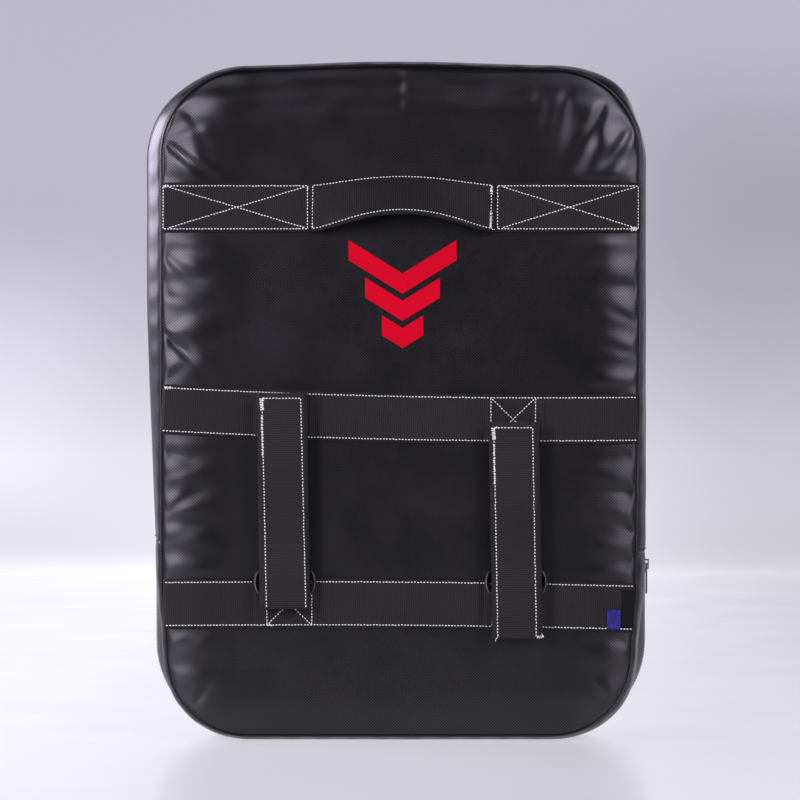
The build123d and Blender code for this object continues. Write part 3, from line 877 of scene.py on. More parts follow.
def build_cover():
    """Both panels, the gusset's three strips and both welts."""
    build_panel("back_panel_cloth", "back_panel", -1, back_lift, lambda x, z: shaped(x, z, -SEAM_Y))
    build_panel("strike_panel_cloth", "strike_panel", 1, strike_lift, lambda x, z: (x, z))
    low_start, low_end = LEFT_COLUMN, RIGHT_COLUMN + AROUND
    build_gusset("upper_gusset_cloth", "upper_gusset", RIGHT_COLUMN, LEFT_COLUMN, -SEAM_Y, SEAM_Y, 3.0)
    lips = (ZIP_Y - 5 * MM, ZIP_Y + 5 * MM)
    build_gusset("lower_gusset_back_cloth", "lower_gusset_back", low_start, low_end, -SEAM_Y, lips[0], 11.0,
                 tuck=(lips[0],))
    build_gusset("lower_gusset_front_cloth", "lower_gusset_front", low_start, low_end, lips[1], SEAM_Y, 17.0,
                 tuck=(lips[1],))
    build_welt("back_welt_roll", "back_welt", -1)
    build_welt("front_welt_roll", "front_welt", 1)


# ---------------------------------------------------------------- foam


# How deep the zip's tapes dip to pass under the slider's back plate
ZIP_DEPTH = 4.15 * MM


def build_foam(name, node, material, slot, y0, y1, inset=3.0 * MM):
    """A foam layer with eased edges, just inside the cover."""
    step = 6
    columns = list(range(0, AROUND, step))
    rows = [y0] + [mix(y0, y1, i / 6) for i in range(1, 6)] + [y1]
    profile = [(y0, 0.55), (y0, 0.9), *[(y, 1.0) for y in rows], (y1, 0.9), (y1, 0.55)]
    verts = []
    for y, share in profile:
        for c in columns:
            limit = SEAM_Y - 1.0 * MM
            point, out = cover_point(c, min(max(y, -limit), limit), inset)
            middle = Vector((0, 0, MID_Z))
            flat = Vector((point.x, 0, point.z))
            round_off = 2.0 * MM if share == 1.0 and y in (y0, y1) else 0.0
            place = middle + (flat - middle) * share - out * round_off
            verts.append((place.x, y, place.z))
    faces = strip_faces(len(profile), len(columns), closed=True)
    count = len(columns)
    low, high = len(verts), len(verts) + 1
    verts += [(0, y0, MID_Z), (0, y1, MID_Z)]
    last = (len(profile) - 1) * count
    faces += [(low, (k + 1) % count, k) for k in range(count)]
    faces += [(high, last + k, last + (k + 1) % count) for k in range(count)]
    piece = make_piece(name, verts, faces, material)
    fix_normals(piece)
    settle(piece, "cover", slot, node)


def build_foams():
    """The three layers, kept clear of the panels' slopes."""
    back_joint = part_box("back_foam")[1].y
    strike_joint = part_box("strike_foam")[0].y
    build_foam("back_foam_block", "back_foam", DENSE_FOAM, "foam_dense", -SEAM_Y + 1 * MM, back_joint)
    build_foam("core_foam_block", "core_foam", CORE_FOAM, "foam_core", back_joint + 0.3 * MM, strike_joint,
               inset=ZIP_DEPTH + 1.1 * MM)
    build_foam("strike_foam_block", "strike_foam", DENSE_FOAM, "foam_dense", strike_joint + 0.3 * MM,
               SEAM_Y - 1 * MM)


# ---------------------------------------------------------------- webbing

STEPS_PER_RIB = 4
ACROSS = 10


def webbing(name, rail, length, ribs_from=0.0, far_ribs=False):
    """Webbing along a rail. rail(s) gives the middle line, the way across and the way out at s."""
    steps = max(4, int(round(length / RIB_PITCH * STEPS_PER_RIB)))
    columns = []
    for k in range(ACROSS + 1):
        share = k / ACROSS * 2 - 1
        edge = smooth((1 - abs(share)) / 0.09)
        columns.append((share, mix(-0.22 * MM, 0.0, edge), smooth((1 - abs(share)) / 0.12 - 0.2)))
    verts, grid = [], []
    for i in range(steps + 1):
        s = length * i / steps
        middle, across, out = rail(s)
        rib = math.cos(2 * math.pi * (s + ribs_from) / RIB_PITCH)
        top = WEB_T / 2
        for share, fall, ribbed in columns:
            high = top + fall + RIB_HIGH * rib * ribbed
            verts.append(middle + across * (share * HALF_WEB) + out * high)
            grid.append((s + ribs_from, share * HALF_WEB, 0.0))
        for share, fall, ribbed in reversed(columns):
            low = -top - fall - (RIB_HIGH * rib * ribbed if far_ribs else 0.0)
            verts.append(middle + across * (share * HALF_WEB) + out * low)
            grid.append((s + ribs_from, share * HALF_WEB, 0.0))
    piece = make_piece(name, verts, capped_strip(steps + 1, ACROSS), WEBBING, grid)
    fix_normals(piece)
    return piece


# The straps' tabs lift the band that covers them, and it falls again over TAB_FALL
TAB_BUMP, TAB_FALL = 1.6 * MM, 6 * MM


def band_lift(kind, x, z):
    """Lift of a band's middle line: on the panel, over the strap's tabs tucked under it."""
    lift = edge_lift(seam_distance(pattern_x(x, z), z)) + WEB_T / 2
    if kind != "top":
        for centre in STRAP_X.values():
            away = abs(x - centre) - HALF_WEB - 1.0 * MM
            lift += TAB_BUMP * (1 - smooth(away / TAB_FALL))
    return lift


def band_point(kind, x, across=0.0, above=0.0):
    """A point on a band, across its width and above its middle, with the outward direction."""
    z = band_line(kind, x)
    step = 0.5 * MM
    slope = (band_lift(kind, x + step, z) - band_lift(kind, x - step, z)) / (2 * step)
    slope = max(min(slope, 2.0), -2.0)
    rise = (band_line(kind, x + step) - band_line(kind, x - step)) / (2 * step)
    out = Vector((-slope, -1.0, 0.0)).normalized()
    way = Vector((-rise, 0.0, 1.0)).normalized()
    middle = Vector((x, -(PANEL_Y + band_lift(kind, x, z)), z))
    return middle + way * across + out * above, way, out


def build_band(name, node, kind, x0, x1):
    """One band from x0 to x1."""
    def rail(s):
        point, way, out = band_point(kind, x0 + s)
        wander = 0.35 * MM * noise.noise(Vector((x0 + s, 3.0, band_line(kind, 0)))*11)
        return point + way * wander, way, out
    piece = webbing(name, rail, x1 - x0)
    settle(piece, "cover", "webbing", node)


# ---------------------------------------------------------------- stitches

STITCH_PITCH, STITCH_LENGTH = 3.1 * MM, 2.05 * MM
STITCH_R = 0.50 * MM


class Sewing:
    """Collects stitches, then makes one piece of them."""

    RINGS = ((-0.5, 0.35), (-0.42, 0.8), (-0.18, 1.0), (0.18, 1.0), (0.42, 0.8), (0.5, 0.35))
    SIDES = 6

    def __init__(self):
        self.verts, self.faces = [], []

    def stitch(self, middle, along, out, length=STITCH_LENGTH, radius=STITCH_R):
        """One stitch: a short rounded run of thread that dives in at both ends."""
        base = len(self.verts)
        side = along.cross(out).normalized()
        for where, share in self.RINGS:
            dip = -0.35 * MM * (abs(where) * 2) ** 4
            centre = middle + along * (where * length) + out * dip
            for k in range(self.SIDES):
                a = 2 * math.pi * k / self.SIDES
                self.verts.append(centre + side * math.cos(a) * radius * share
                                  + out * math.sin(a) * radius * share * 0.85)
        count = len(self.RINGS)
        for r in range(count - 1):
            for k in range(self.SIDES):
                m = (k + 1) % self.SIDES
                a = base + r * self.SIDES
                self.faces.append((a + k, a + m, a + self.SIDES + m, a + self.SIDES + k))
        self.faces.append(tuple(base + k for k in reversed(range(self.SIDES))))
        self.faces.append(tuple(base + (count - 1) * self.SIDES + k for k in range(self.SIDES)))

    def line(self, start, end, surface, radius=STITCH_R, pitch=STITCH_PITCH, wild=1.0):
        """Stitches from start to end, each a pair of the surface's own two coordinates."""
        length = math.hypot(end[0] - start[0], end[1] - start[1])
        count = max(1, int(round(length / pitch)))
        for i in range(count):
            t = (i + 0.5) / count
            jog = [random.gauss(0, 0.10 * MM) * wild for _ in range(2)]
            a, b = mix(start[0], end[0], t) + jog[0], mix(start[1], end[1], t) + jog[1]
            h = 0.4 * MM
            ux, uz = (end[0] - start[0]) / length, (end[1] - start[1]) / length
            turn = random.gauss(0, 0.05) * wild
            ux, uz = ux - uz * turn, uz + ux * turn
            before, _ = surface(a - ux * h, b - uz * h)
            after, _ = surface(a + ux * h, b + uz * h)
            point, out = surface(a, b)
            scale = length / count / pitch
            self.stitch(point, (after - before).normalized(), out,
                        STITCH_LENGTH / STITCH_PITCH * pitch * scale * random.uniform(0.94, 1.04), radius)

    def path(self, points, surface, **settings):
        for start, end in zip(points, points[1:]):
            self.line(start, end, surface, **settings)

    def knot(self, start, end, surface, turns=2, heavy=1.5):
        """Back-tacked thread: several passes on top of each other."""
        for turn in range(turns):
            off = (turn - (turns - 1) / 2) * 1.1 * MM
            across = Vector((end[1] - start[1], start[0] - end[0], 0)).normalized()
            a = (start[0] + across.x * off, start[1] + across.y * off)
            b = (end[0] + across.x * off, end[1] + across.y * off)
            self.line(a, b, surface, radius=STITCH_R * heavy, pitch=STITCH_PITCH * 0.55, wild=2.2)

    def tail(self, start, turn, length, surface):
        """A cut thread's end, which curls on the surface."""
        a, b, angle = start[0], start[1], turn
        steps = max(3, int(length / (0.8 * MM)))
        for _ in range(steps):
            angle += random.uniform(-0.35, 0.55)
            da, db = math.cos(angle) * 0.8 * MM, math.sin(angle) * 0.8 * MM
            point, out = surface(a + da / 2, b + db / 2)
            ahead, _ = surface(a + da, b + db)
            behind, _ = surface(a, b)
            self.stitch(point + out * 0.25 * MM, (ahead - behind).normalized(), out, 1.15 * MM, 0.3 * MM)
            a, b = a + da, b + db

    def piece(self, name, material=THREAD):
        made = make_piece(name, self.verts, self.faces, material)
        fix_normals(made)
        return made


def rectangle(x0, x1, w0, w1):
    return [(x0, w0), (x1, w0), (x1, w1), (x0, w1), (x0, w0)]


# Stitches lie this high above the webbing's middle
STITCH_ABOVE = 0.95 * MM
# Sewn boxes that stray from their strap's middle
BOX_SHIFT = {("lower", "left"): 5.2 * MM, ("middle", "right"): -1.8 * MM}
STITCH_EDGE = HALF_WEB - 3.5 * MM


def sew_top_band(sewing, left, right, surface):
    """The sewn box and cross of one of the top band's ends."""
    w, inner = STITCH_EDGE, 5 * MM
    sewing.path(rectangle(left, right, -w, w), surface)
    sewing.line((left + inner, -w + 1 * MM), (right - inner / 2, w - 1 * MM), surface)
    sewing.line((left + inner, w - 1 * MM), (right - inner / 2, -w + 1 * MM), surface)


def sew_long_band(sewing, kind, left, right, surface):
    """A long band's two edges, and a crossed box over each strap's tab."""
    w = STITCH_EDGE
    sewing.line((left, w), (right, w), surface)
    sewing.line((left, -w), (right, -w), surface)
    for strap, centre in STRAP_X.items():
        centre += BOX_SHIFT.get((kind, strap), 0.0)
        a, b = centre - w - 0.8 * MM, centre + w + 0.8 * MM
        sewing.line((a, -w), (a, w), surface)
        sewing.line((b, -w), (b, w), surface)
        sewing.line((a + 1 * MM, w - 1 * MM), (b - 1 * MM, -w + 1 * MM), surface)
        sewing.line((b - 1 * MM, w - 1 * MM), (a + 1 * MM, -w + 1 * MM), surface)
        sewing.knot((a, -w), (a + 5 * MM, -w), surface, turns=1)


# How far a band stops short of the seam, and its stitching short of the band's two ends
BAND_INSET, SEWN_INSET, SEWN_HANDLE_INSET = 0.8 * MM, 1.2 * MM, 2.4 * MM


def seam_end(side, kind):
    """Where a band's end is tucked in at the left (-1) or right (1) seam."""
    return seam_x(side, BAND_Z[BAND_NODE[kind]]) - side * BAND_INSET


def build_bands():
    """The four band pieces and their stitching."""
    runs = {
        "top_band_left": ("top", seam_end(-1, "top"), HANDLE_X - HANDLE_HALF),
        "top_band_right": ("top", HANDLE_X + HANDLE_HALF, seam_end(1, "top")),
        "middle_band": ("middle", seam_end(-1, "middle"), seam_end(1, "middle")),
        "lower_band": ("lower", seam_end(-1, "lower"), seam_end(1, "lower")),
    }
    w = STITCH_EDGE
    for node, (kind, x0, x1) in runs.items():
        build_band(f"{node}_webbing", node, kind, x0, x1)

        def surface(x, w, kind=kind):
            point, _, out = band_point(kind, x, w, STITCH_ABOVE)
            return point, out

        sewing = Sewing()
        left = x0 + (SEWN_HANDLE_INSET if node == "top_band_right" else SEWN_INSET)
        right = x1 - (SEWN_HANDLE_INSET if node == "top_band_left" else SEWN_INSET)
        if kind == "top":
            sew_top_band(sewing, left, right, surface)
        else:
            sew_long_band(sewing, kind, left, right, surface)
        if node == "top_band_right":
            sewing.knot((right - 7 * MM, -w), (right - 1 * MM, -w), surface, turns=3)
        if node == "top_band_left":
            sewing.knot((left, w), (left + 5 * MM, w), surface, turns=2)
            sewing.knot((right, w - 5 * MM), (right, w), surface, turns=1)
        if kind == "middle":
            sewing.knot((left, w), (left + 7 * MM, w), surface, turns=2)
        settle(sewing.piece(f"{node}_stitching"), "cover", "thread", f"{node}_thread")


# ---------------------------------------------------------------- carry handle

HANDLE_Z = BAND_Z["top_band_left"]
HANDLE_RISE = 18.5 * MM
HANDLE_FREE = (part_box("handle_strap")[1].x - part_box("handle_strap")[0].x) / 2
LAYER_IN, LAYER_OUT = 1.05 * MM, 2.65 * MM


def handle_point(x, across, through):
    """A point of the handle at x: it arches off the panel and leans up against it."""
    rise = HANDLE_RISE * max(0.0, 1 - ((x - HANDLE_X) / HANDLE_HALF) ** 2)
    lean = math.atan2(rise, HALF_WEB)
    lift = (rise + through) * math.cos(lean) - across * math.sin(lean)
    z = (rise + through) * math.sin(lean) + across * math.cos(lean)
    return Vector((x, -(PANEL_Y + lift), HANDLE_Z + z))


def handle_frame(x, across, through):
    """The handle's point at x with its ways across and outwards."""
    h = 0.5 * MM
    way = (handle_point(x, across + h, through) - handle_point(x, across - h, through)).normalized()
    along = (handle_point(x + h, across, through) - handle_point(x - h, across, through)).normalized()
    return handle_point(x, across, through), way, way.cross(along).normalized()


def handle_run(name, through, x0, x1):
    """One layer of the handle from x0 to x1."""
    def rail(s):
        point, way, out = handle_frame(x0 + s, 0.0, through)
        return point, way, (out if out.y < 0 else -out)
    return webbing(name, rail, x1 - x0, ribs_from=x0, far_ribs=True)


def handle_surface(x, w):
    point, _, out = handle_frame(x, w, LAYER_OUT + STITCH_ABOVE)
    return point, (out if out.y < 0 else -out)


def build_handle():
    """The handle's two layers, its middle riding on the handle's body and its ends bending to it."""
    left, right = HANDLE_X - HANDLE_HALF + 0.4 * MM, HANDLE_X + HANDLE_HALF - 0.4 * MM
    free = (HANDLE_X - HANDLE_FREE, HANDLE_X + HANDLE_FREE)
    spans = {"left_end": (left, free[0]), "middle": free, "right_end": (free[1], right)}
    w = STITCH_EDGE
    for place, (x0, x1) in spans.items():
        inner = handle_run(f"handle_inner_{place}", LAYER_IN, x0, x1)
        outer = handle_run(f"handle_outer_{place}", LAYER_OUT, x0, x1)
        sewing = Sewing()
        if place == "middle":
            nodes = ("handle_strap", "handle_cover")
            sewing.line((x0, w), (x1, w), handle_surface)
            sewing.line((x0, -w), (x1, -w), handle_surface)
        elif place == "left_end":
            nodes = ("handle_left_end", "handle_left_end_cover")
            sewing.path([(x1, w), (x0 + 2.5 * MM, w), (x0 + 2.0 * MM, -w), (x1, -w)], handle_surface)
            sewing.knot((x0 + 2 * MM, -w), (x0 + 2 * MM, -w + 6 * MM), handle_surface, turns=1)
        else:
            nodes = ("handle_right_end", "handle_right_end_cover")
            sewing.path([(x0, w), (x1 - 3.0 * MM, w), (x1 - 4.0 * MM, -w), (x0, -w)], handle_surface)
            sewing.knot((x1 - 4.3 * MM, -w), (x1 - 3.4 * MM, -w + 16 * MM), handle_surface, turns=2)
            sewing.knot((x1 - 3.2 * MM, w - 9 * MM), (x1 - 3.0 * MM, w), handle_surface, turns=2)
            sewing.tail((x1 - 4 * MM, -w), -0.6, 4 * MM, handle_surface)
        stitching = sewing.piece(f"handle_stitching_{place}")
        for piece, slot, node in ((inner, "webbing", nodes[0]), (outer, "webbing", nodes[1]),
                                  (stitching, "thread", None)):
            if node:
                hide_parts(node)
            if place == "middle":
                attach(piece, "carry_handle")
                if node is None:
                    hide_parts("handle_thread")
            else:
                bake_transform(piece)


# ---------------------------------------------------------------- arm straps

PAD_LIFT, BACKING_LIFT, RETURN_LIFT = 17.45 * MM, 15.75 * MM, 5.2 * MM
TAB_LIFT, TAB_HIDDEN = WEB_T / 2, 38 * MM
RING_STRAIGHT, RING_END, RING_DROP, RING_BAR = 24.6 * MM, 4.3 * MM, 21 * MM, 2.2 * MM
RING_HANG = math.radians(12)
AXLE_LIFT = 4.0 * MM
# Half the width of the webbing's loop round a ring's bar
LOOP = 3.25 * MM
TURN_STEPS = 16
STRAP_LEAN = {"left": -0.0140, "right": -0.0180}
STRAP_SHIFT = {"left": 0.0 * MM, "right": 0.2 * MM}


class Route:
    """A side view (lift, z) of webbing, made of straight runs and half turns."""

    def __init__(self, start):
        self.points = [start]

    def to(self, lift, z):
        a = self.points[-1]
        count = max(1, int(math.hypot(lift - a[0], z - a[1]) / MM))
        self.points += [(mix(a[0], lift, i / count), mix(a[1], z, i / count)) for i in range(1, count + 1)]
        return self

    def turn(self, lift, up):
        a = self.points[-1]
        centre, radius = (a[0] + lift) / 2, abs(lift - a[0]) / 2
        way = 1 if lift > a[0] else -1
        for i in range(1, TURN_STEPS + 1):
            angle = math.pi * i / TURN_STEPS
            rise = radius * math.sin(angle) * (1 if up else -1)
            self.points.append((centre - way * radius * math.cos(angle), a[1] + rise))
        return self

    def rail(self, side):
        """A rail for webbing() and its length, at the strap's x."""
        runs = [0.0]
        for a, b in zip(self.points, self.points[1:]):
            runs.append(runs[-1] + math.hypot(b[0] - a[0], b[1] - a[1]))

        def at(s):
            s = min(max(s, 0.0), runs[-1])
            i = int(np.searchsorted(runs, s, side="right")) - 1
            i = min(i, len(self.points) - 2)
            t = (s - runs[i]) / max(runs[i + 1] - runs[i], 1e-9)
            a, b = self.points[i], self.points[i + 1]
            return mix(a[0], b[0], t), mix(a[1], b[1], t)

        def rail(s):
            lift, z = at(s)
            before, after = at(s - 0.4 * MM), at(s + 0.4 * MM)
            dl, dz = after[0] - before[0], after[1] - before[1]
            size = math.hypot(dl, dz) or 1e-9
            out = Vector((0, -dz / size, -dl / size))
            return Vector((strap_x(side, z), -(PANEL_Y + lift), z)), Vector((1, 0, 0)), out

        return rail, runs[-1]


def strap_x(side, z):
    low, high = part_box(f"{side}_strap_pad")
    return STRAP_X[side] + STRAP_SHIFT[side] + STRAP_LEAN[side] * (z - (low.z + high.z) / 2)


PAD_BOW = 1.6 * MM


def pad_bow(side, z):
    """How far a strap's free middle stands out beyond its ends."""
    low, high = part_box(f"{side}_strap_pad")
    t = (z - low.z) / (high.z - low.z)
    return PAD_BOW * math.sin(math.pi * min(max(t, 0.0), 1.0))


def routed(name, side, route):
    """Webbing along a route at a strap's x, ribbed on both sides."""
    rail, length = route.rail(side)
    return webbing(name, rail, length, far_ribs=True)


def build_layer(side, part, lift, far_ribs=False):
    """One flat layer of a strap's free middle: its pad or the backing behind it."""
    low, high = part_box(f"{side}_strap_{part}")

    def rail(s):
        z = low.z + s
        return (Vector((strap_x(side, z), -(PANEL_Y + lift + pad_bow(side, z)), z)),
                Vector((1, 0, 0)), Vector((0, -1, 0)))

    piece = webbing(f"{side}_strap_{part}_webbing", rail, high.z - low.z, far_ribs=far_ribs)
    settle(piece, f"{side}_strap", "webbing", f"{side}_strap_{part}")


def build_top_fold(side, top_turn):
    """From under the middle band up to the backing's top, bending from the cover to the strap."""
    edge_z = BAND_Z["middle_band"] - HALF_WEB - 1.0 * MM
    route = Route((TAB_LIFT, edge_z + TAB_HIDDEN)).to(TAB_LIFT, edge_z).turn(RETURN_LIFT, up=False)
    route.to(RETURN_LIFT, top_turn).turn(BACKING_LIFT, up=True)
    piece = routed(f"{side}_strap_top_webbing", side, route)
    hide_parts(f"{side}_strap_top_end")
    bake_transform(piece)


def build_bottom_fold(side, axle_z, bottom_turn):
    """From the backing's bottom round the ring's lower bar, with its end sewn down."""
    bar_lift = AXLE_LIFT + RING_DROP * math.sin(RING_HANG)
    bar_z = axle_z - RING_DROP * math.cos(RING_HANG)
    route = Route((BACKING_LIFT, bottom_turn)).turn(bar_lift + LOOP, up=False)
    route.to(bar_lift + LOOP, bar_z).turn(bar_lift - LOOP, up=True)
    route.to(bar_lift - LOOP, bar_z - 2 * MM)
    route.to(bar_lift + LOOP - WEB_T - 0.25 * MM, bar_z - 8.1 * MM)
    piece = routed(f"{side}_strap_bottom_webbing", side, route)
    settle(piece, f"{side}_strap", "webbing", f"{side}_strap_bottom_end")


def build_ring_tab(side, axle_z):
    """From under the lower band round the ring's upper bar, with its end sewn down."""
    route = Route((TAB_LIFT, BAND_Z["lower_band"] + HALF_WEB - TAB_HIDDEN)).to(TAB_LIFT, axle_z)
    route.turn(AXLE_LIFT + LOOP, up=True).to(AXLE_LIFT + LOOP, axle_z - 2 * MM)
    route.to(TAB_LIFT + WEB_T + 0.25 * MM, axle_z - 6.1 * MM)
    piece = routed(f"{side}_ring_tab_webbing", side, route)
    settle(piece, "cover", "webbing", f"{side}_ring_tab")


def sew_strap(side):
    """A strap's edge stitching, back-tacked on its left side, with the right one's loose ends."""
    low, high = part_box(f"{side}_strap_pad")

    def surface(dx, z):
        place = Vector((strap_x(side, z) + dx, -(PANEL_Y + PAD_LIFT + pad_bow(side, z) + STITCH_ABOVE), z))
        return place, Vector((0, -1, 0))

    sewing = Sewing()
    left_x, right_x = -HALF_WEB + 5.2 * MM, HALF_WEB - 6.3 * MM
    top_z, low_z = high.z - 5.2 * MM, low.z + 1.2 * MM
    left_low, right_low = (left_x + 1.5 * MM, right_x + 2.2 * MM) if side == "left" else (left_x, right_x)
    sewing.path([(left_x, top_z), (right_x, top_z), (right_low, low_z)], surface)
    sewing.line((left_x, top_z), (left_low, low_z), surface)
    sewing.knot((left_x - 0.6 * MM, top_z), (left_x - 0.2 * MM, top_z - 12 * MM), surface, turns=3, heavy=1.9)
    sewing.knot((left_x - 0.5 * MM, top_z - 16 * MM), (left_x - 0.3 * MM, top_z - 56 * MM), surface, turns=1,
                heavy=1.8)
    sewing.knot((left_x, top_z), (left_x + 5 * MM, top_z), surface, turns=1)
    if side == "right":
        sewing.knot((right_x + 0.5 * MM, low_z), (right_x + 7 * MM, low_z + 0.4 * MM), surface, turns=2)
        sewing.tail((left_x, low_z), -2.5, 5 * MM, surface)
        sewing.tail((right_x + 7 * MM, low_z), 1.4, 4 * MM, surface)
    settle(sewing.piece(f"{side}_strap_stitching"), f"{side}_strap", "thread", f"{side}_strap_thread")


def build_strap(side):
    """One arm strap's pad, backing, two folded ends and stitching, and its ring's tab."""
    axle_z = JOINTS[f"{side}_ring_swing"]["pos_m"][2]
    low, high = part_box(f"{side}_strap_backing")
    build_layer(side, "pad", PAD_LIFT)
    build_layer(side, "backing", BACKING_LIFT, far_ribs=True)
    build_top_fold(side, high.z)
    build_bottom_fold(side, axle_z, low.z)
    build_ring_tab(side, axle_z)
    sew_strap(side)


def build_ring(side):
    """A moulded ring with bowed ends, hanging from its tab."""
    axle = Vector(JOINTS[f"{side}_ring_swing"]["pos_m"])
    axle.x = strap_x(side, axle.z)
    down = Vector((0, -math.sin(RING_HANG), -math.cos(RING_HANG)))
    half = RING_DROP / 2
    path = []
    for end in (1, -1):
        for i in range(25):
            a = math.pi * (i / 24 - 0.5) * end
            reach = end * (RING_STRAIGHT + RING_END * math.cos(a))
            path.append(axle + Vector((reach, 0, 0)) + down * (half + half * math.sin(a)))
        start = path[-1]
        flip = axle + Vector((-(start.x - axle.x), start.y - axle.y, start.z - axle.z))
        path += [start.lerp(flip, i / 24) for i in range(1, 24)]
    piece = tube(f"{side}_ring_moulding", path, RING_BAR, RING_PLASTIC, sides=14)
    settle(piece, f"{side}_ring", "ring_plastic", f"{side}_ring")


# ---------------------------------------------------------------- zip


# A tape's section: millimetres off the zip's line and below the cover's surface
TAPE_SECTION = [(16, 1.25), (4.9, 1.15), (4.75, 4.15), (0.15, 4.15), (0.15, 4.85), (5.45, 4.85), (5.6, 1.95),
                (16, 1.95)]
# How far the tapes run past the coil's ends, in columns, and how far they sink there
TAPE_PAST, TAPE_SINK = 1.35, 0.8 * MM


def around_point(column, y, inset):
    point, out = cover_point(column, y, inset)
    ahead, _ = cover_point(column + 0.2, y, inset)
    return point, out, (ahead - point).normalized()


COIL_PITCH, COIL_LENGTH, COIL_R = 1.5 * MM, 3.4 * MM, 0.42 * MM
STOP_LENGTH, STOP_R = 6.4 * MM, 0.8 * MM
# The gusset's own seams, in black thread: 8 mm to each side of the zip and across both joints
SEAM_OFF, SEAM_PITCH, SEAM_STITCH, SEAM_THREAD_R = 8 * MM, 3.4 * MM, 2.5 * MM, 0.35 * MM
JOINT_STITCHES = 36
ACROSS_GUSSET = Vector((0, 1, 0))


def build_tape(node, side, start, end):
    """One of the zip's tapes, at depth side -1 or 1 from its line."""
    count = int((end - start) * 2)
    verts, grid = [], []
    for i in range(count + 1):
        column = mix(start - TAPE_PAST, end + TAPE_PAST, i / count)
        ends = min(column - start, end - column) + TAPE_PAST
        sink = TAPE_SINK * math.exp(-((ends / 1.1) ** 2))
        for off, inset in TAPE_SECTION:
            y = ZIP_Y + side * off * MM
            point, _ = cover_point(column, y, inset * MM + sink)
            verts.append(point)
            grid.append((column * 5 * MM, y, 0.0))
    points = len(TAPE_SECTION)
    faces = strip_faces(count + 1, points, closed=True)
    faces += [tuple(reversed(range(points))), tuple(count * points + k for k in range(points))]
    piece = make_piece(f"{node}_weave", verts, faces, ZIP_TAPE, grid)
    fix_normals(piece)
    settle(piece, "cover", "zip_tape", node)


def build_coil(start, end, run):
    """The coil's teeth, a pair for each pitch, and three bars at each end of it."""
    teeth = Sewing()
    pairs = int(run / COIL_PITCH)
    for i in range(pairs):
        for side in (-1, 1):
            column = mix(start, end, (i + 0.25 + 0.25 * side) / pairs)
            point, out, _ = around_point(column, ZIP_Y + side * 1.1 * MM, 0.75 * MM)
            teeth.stitch(point, ACROSS_GUSSET, out, COIL_LENGTH, COIL_R)
    settle(teeth.piece("zip_coil", ZIP_PLASTIC), "cover", "zip_plastic", "zip_teeth")
    stops = Sewing()
    for column in (start - 0.4, end + 0.4):
        for k in range(3):
            point, out, _ = around_point(column + (k - 1) * 0.16, ZIP_Y, 0.7 * MM)
            stops.stitch(point, ACROSS_GUSSET, out, STOP_LENGTH, STOP_R)
    settle(stops.piece("zip_stop_bars", ZIP_PLASTIC), "cover", "zip_plastic", "zip_end_stops")


def build_gusset_seams(start, end, run):
    """Black stitches along both sides of the zip, and across the gusset below both joints."""
    seams = Sewing()
    for y in (ZIP_Y - SEAM_OFF, ZIP_Y + SEAM_OFF):
        steps = int(run / SEAM_PITCH)
        for i in range(steps):
            point, out, along = around_point(mix(start - 0.5, end + 0.5, (i + 0.5) / steps), y, -0.25 * MM)
            point.z = max(point.z, 0.45 * MM)
            seams.stitch(point, along, out, SEAM_STITCH, SEAM_THREAD_R)
    for column, side in ((LEFT_COLUMN, 1), (RIGHT_COLUMN, -1)):
        for i in range(JOINT_STITCHES):
            y = mix(-SEAM_Y + 3 * MM, SEAM_Y - 3 * MM, (i + 0.5) / JOINT_STITCHES)
            point, out, _ = around_point(column - side * 0.8, y, -0.25 * MM)
            seams.stitch(point, ACROSS_GUSSET, out, SEAM_STITCH, SEAM_THREAD_R)
    settle(seams.piece("gusset_seam_stitching", BLACK_THREAD), "cover", "thread")


def build_zip():
    """Tapes, coil, end stops and seams; the slider and its pull are the frame's."""
    start, end = LEFT_COLUMN + 1.0, RIGHT_COLUMN + AROUND - 1.0
    run = LENGTHS[-1] * (end - start) / AROUND
    build_tape("zip_tape_back", -1, start, end)
    build_tape("zip_tape_front", 1, start, end)
    build_coil(start, end, run)
    build_gusset_seams(start, end, run)


# ---------------------------------------------------------------- labels and emblem


def build_label(name, node, material, slot, x0, x1, w0, w1):
    """A folded woven label on the lower band, its edges turned under."""
    steps, across = 18, 12
    half = (w1 - w0) / 2
    verts = []
    for i in range(steps + 1):
        s = (x1 - x0) * i / steps
        point, way, out = band_point("lower", x0 + s, (w0 + w1) / 2, 1.55 * MM)
        end_ease = 0.25 * MM * (1 - smooth(min(s, x1 - x0 - s) / (1.2 * MM)))
        for k in range(across + 1):
            share = k / across * 2 - 1
            ease = 0.25 * MM * (1 - smooth((1 - abs(share)) / 0.1)) + end_ease
            wave = 0.12 * MM * math.sin(5 * share + 3 * s / (x1 - x0))
            verts.append(point + way * share * half + out * (0.35 * MM - ease + wave))
        for k in range(across, -1, -1):
            share = k / across * 2 - 1
            verts.append(point + way * share * half - out * 0.3 * MM)
    piece = make_piece(name, verts, capped_strip(steps + 1, across), material)
    fix_normals(piece)
    settle(piece, "cover", slot, node)


def build_trim():
    """Labels near the lower right seam; the printed emblem is the frame's own."""
    low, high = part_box("black_label")
    seam = seam_x(1, BAND_Z["lower_band"])
    z = band_line("lower", low.x)
    build_label("black_label_cloth", "black_label", BLACK_LABEL, "label_black",
                seam - 13.0 * MM, seam - 1.6 * MM, low.z - z, high.z - z)
    low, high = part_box("blue_label")
    build_label("blue_label_cloth", "blue_label", BLUE_LABEL, "label_blue",
                seam - 27.5 * MM, seam - 14.0 * MM, low.z - z, high.z - z)


def paint_frame_nodes():
    """Materials for the CAD nodes that stay in view."""
    for node, material in (("emblem", RED_PRINT), ("zip_slider", ZIP_METAL), ("zip_pull", ZIP_METAL)):
        mesh = frame["nodes"][node].data
        mesh.materials.clear()
        mesh.materials.append(material)


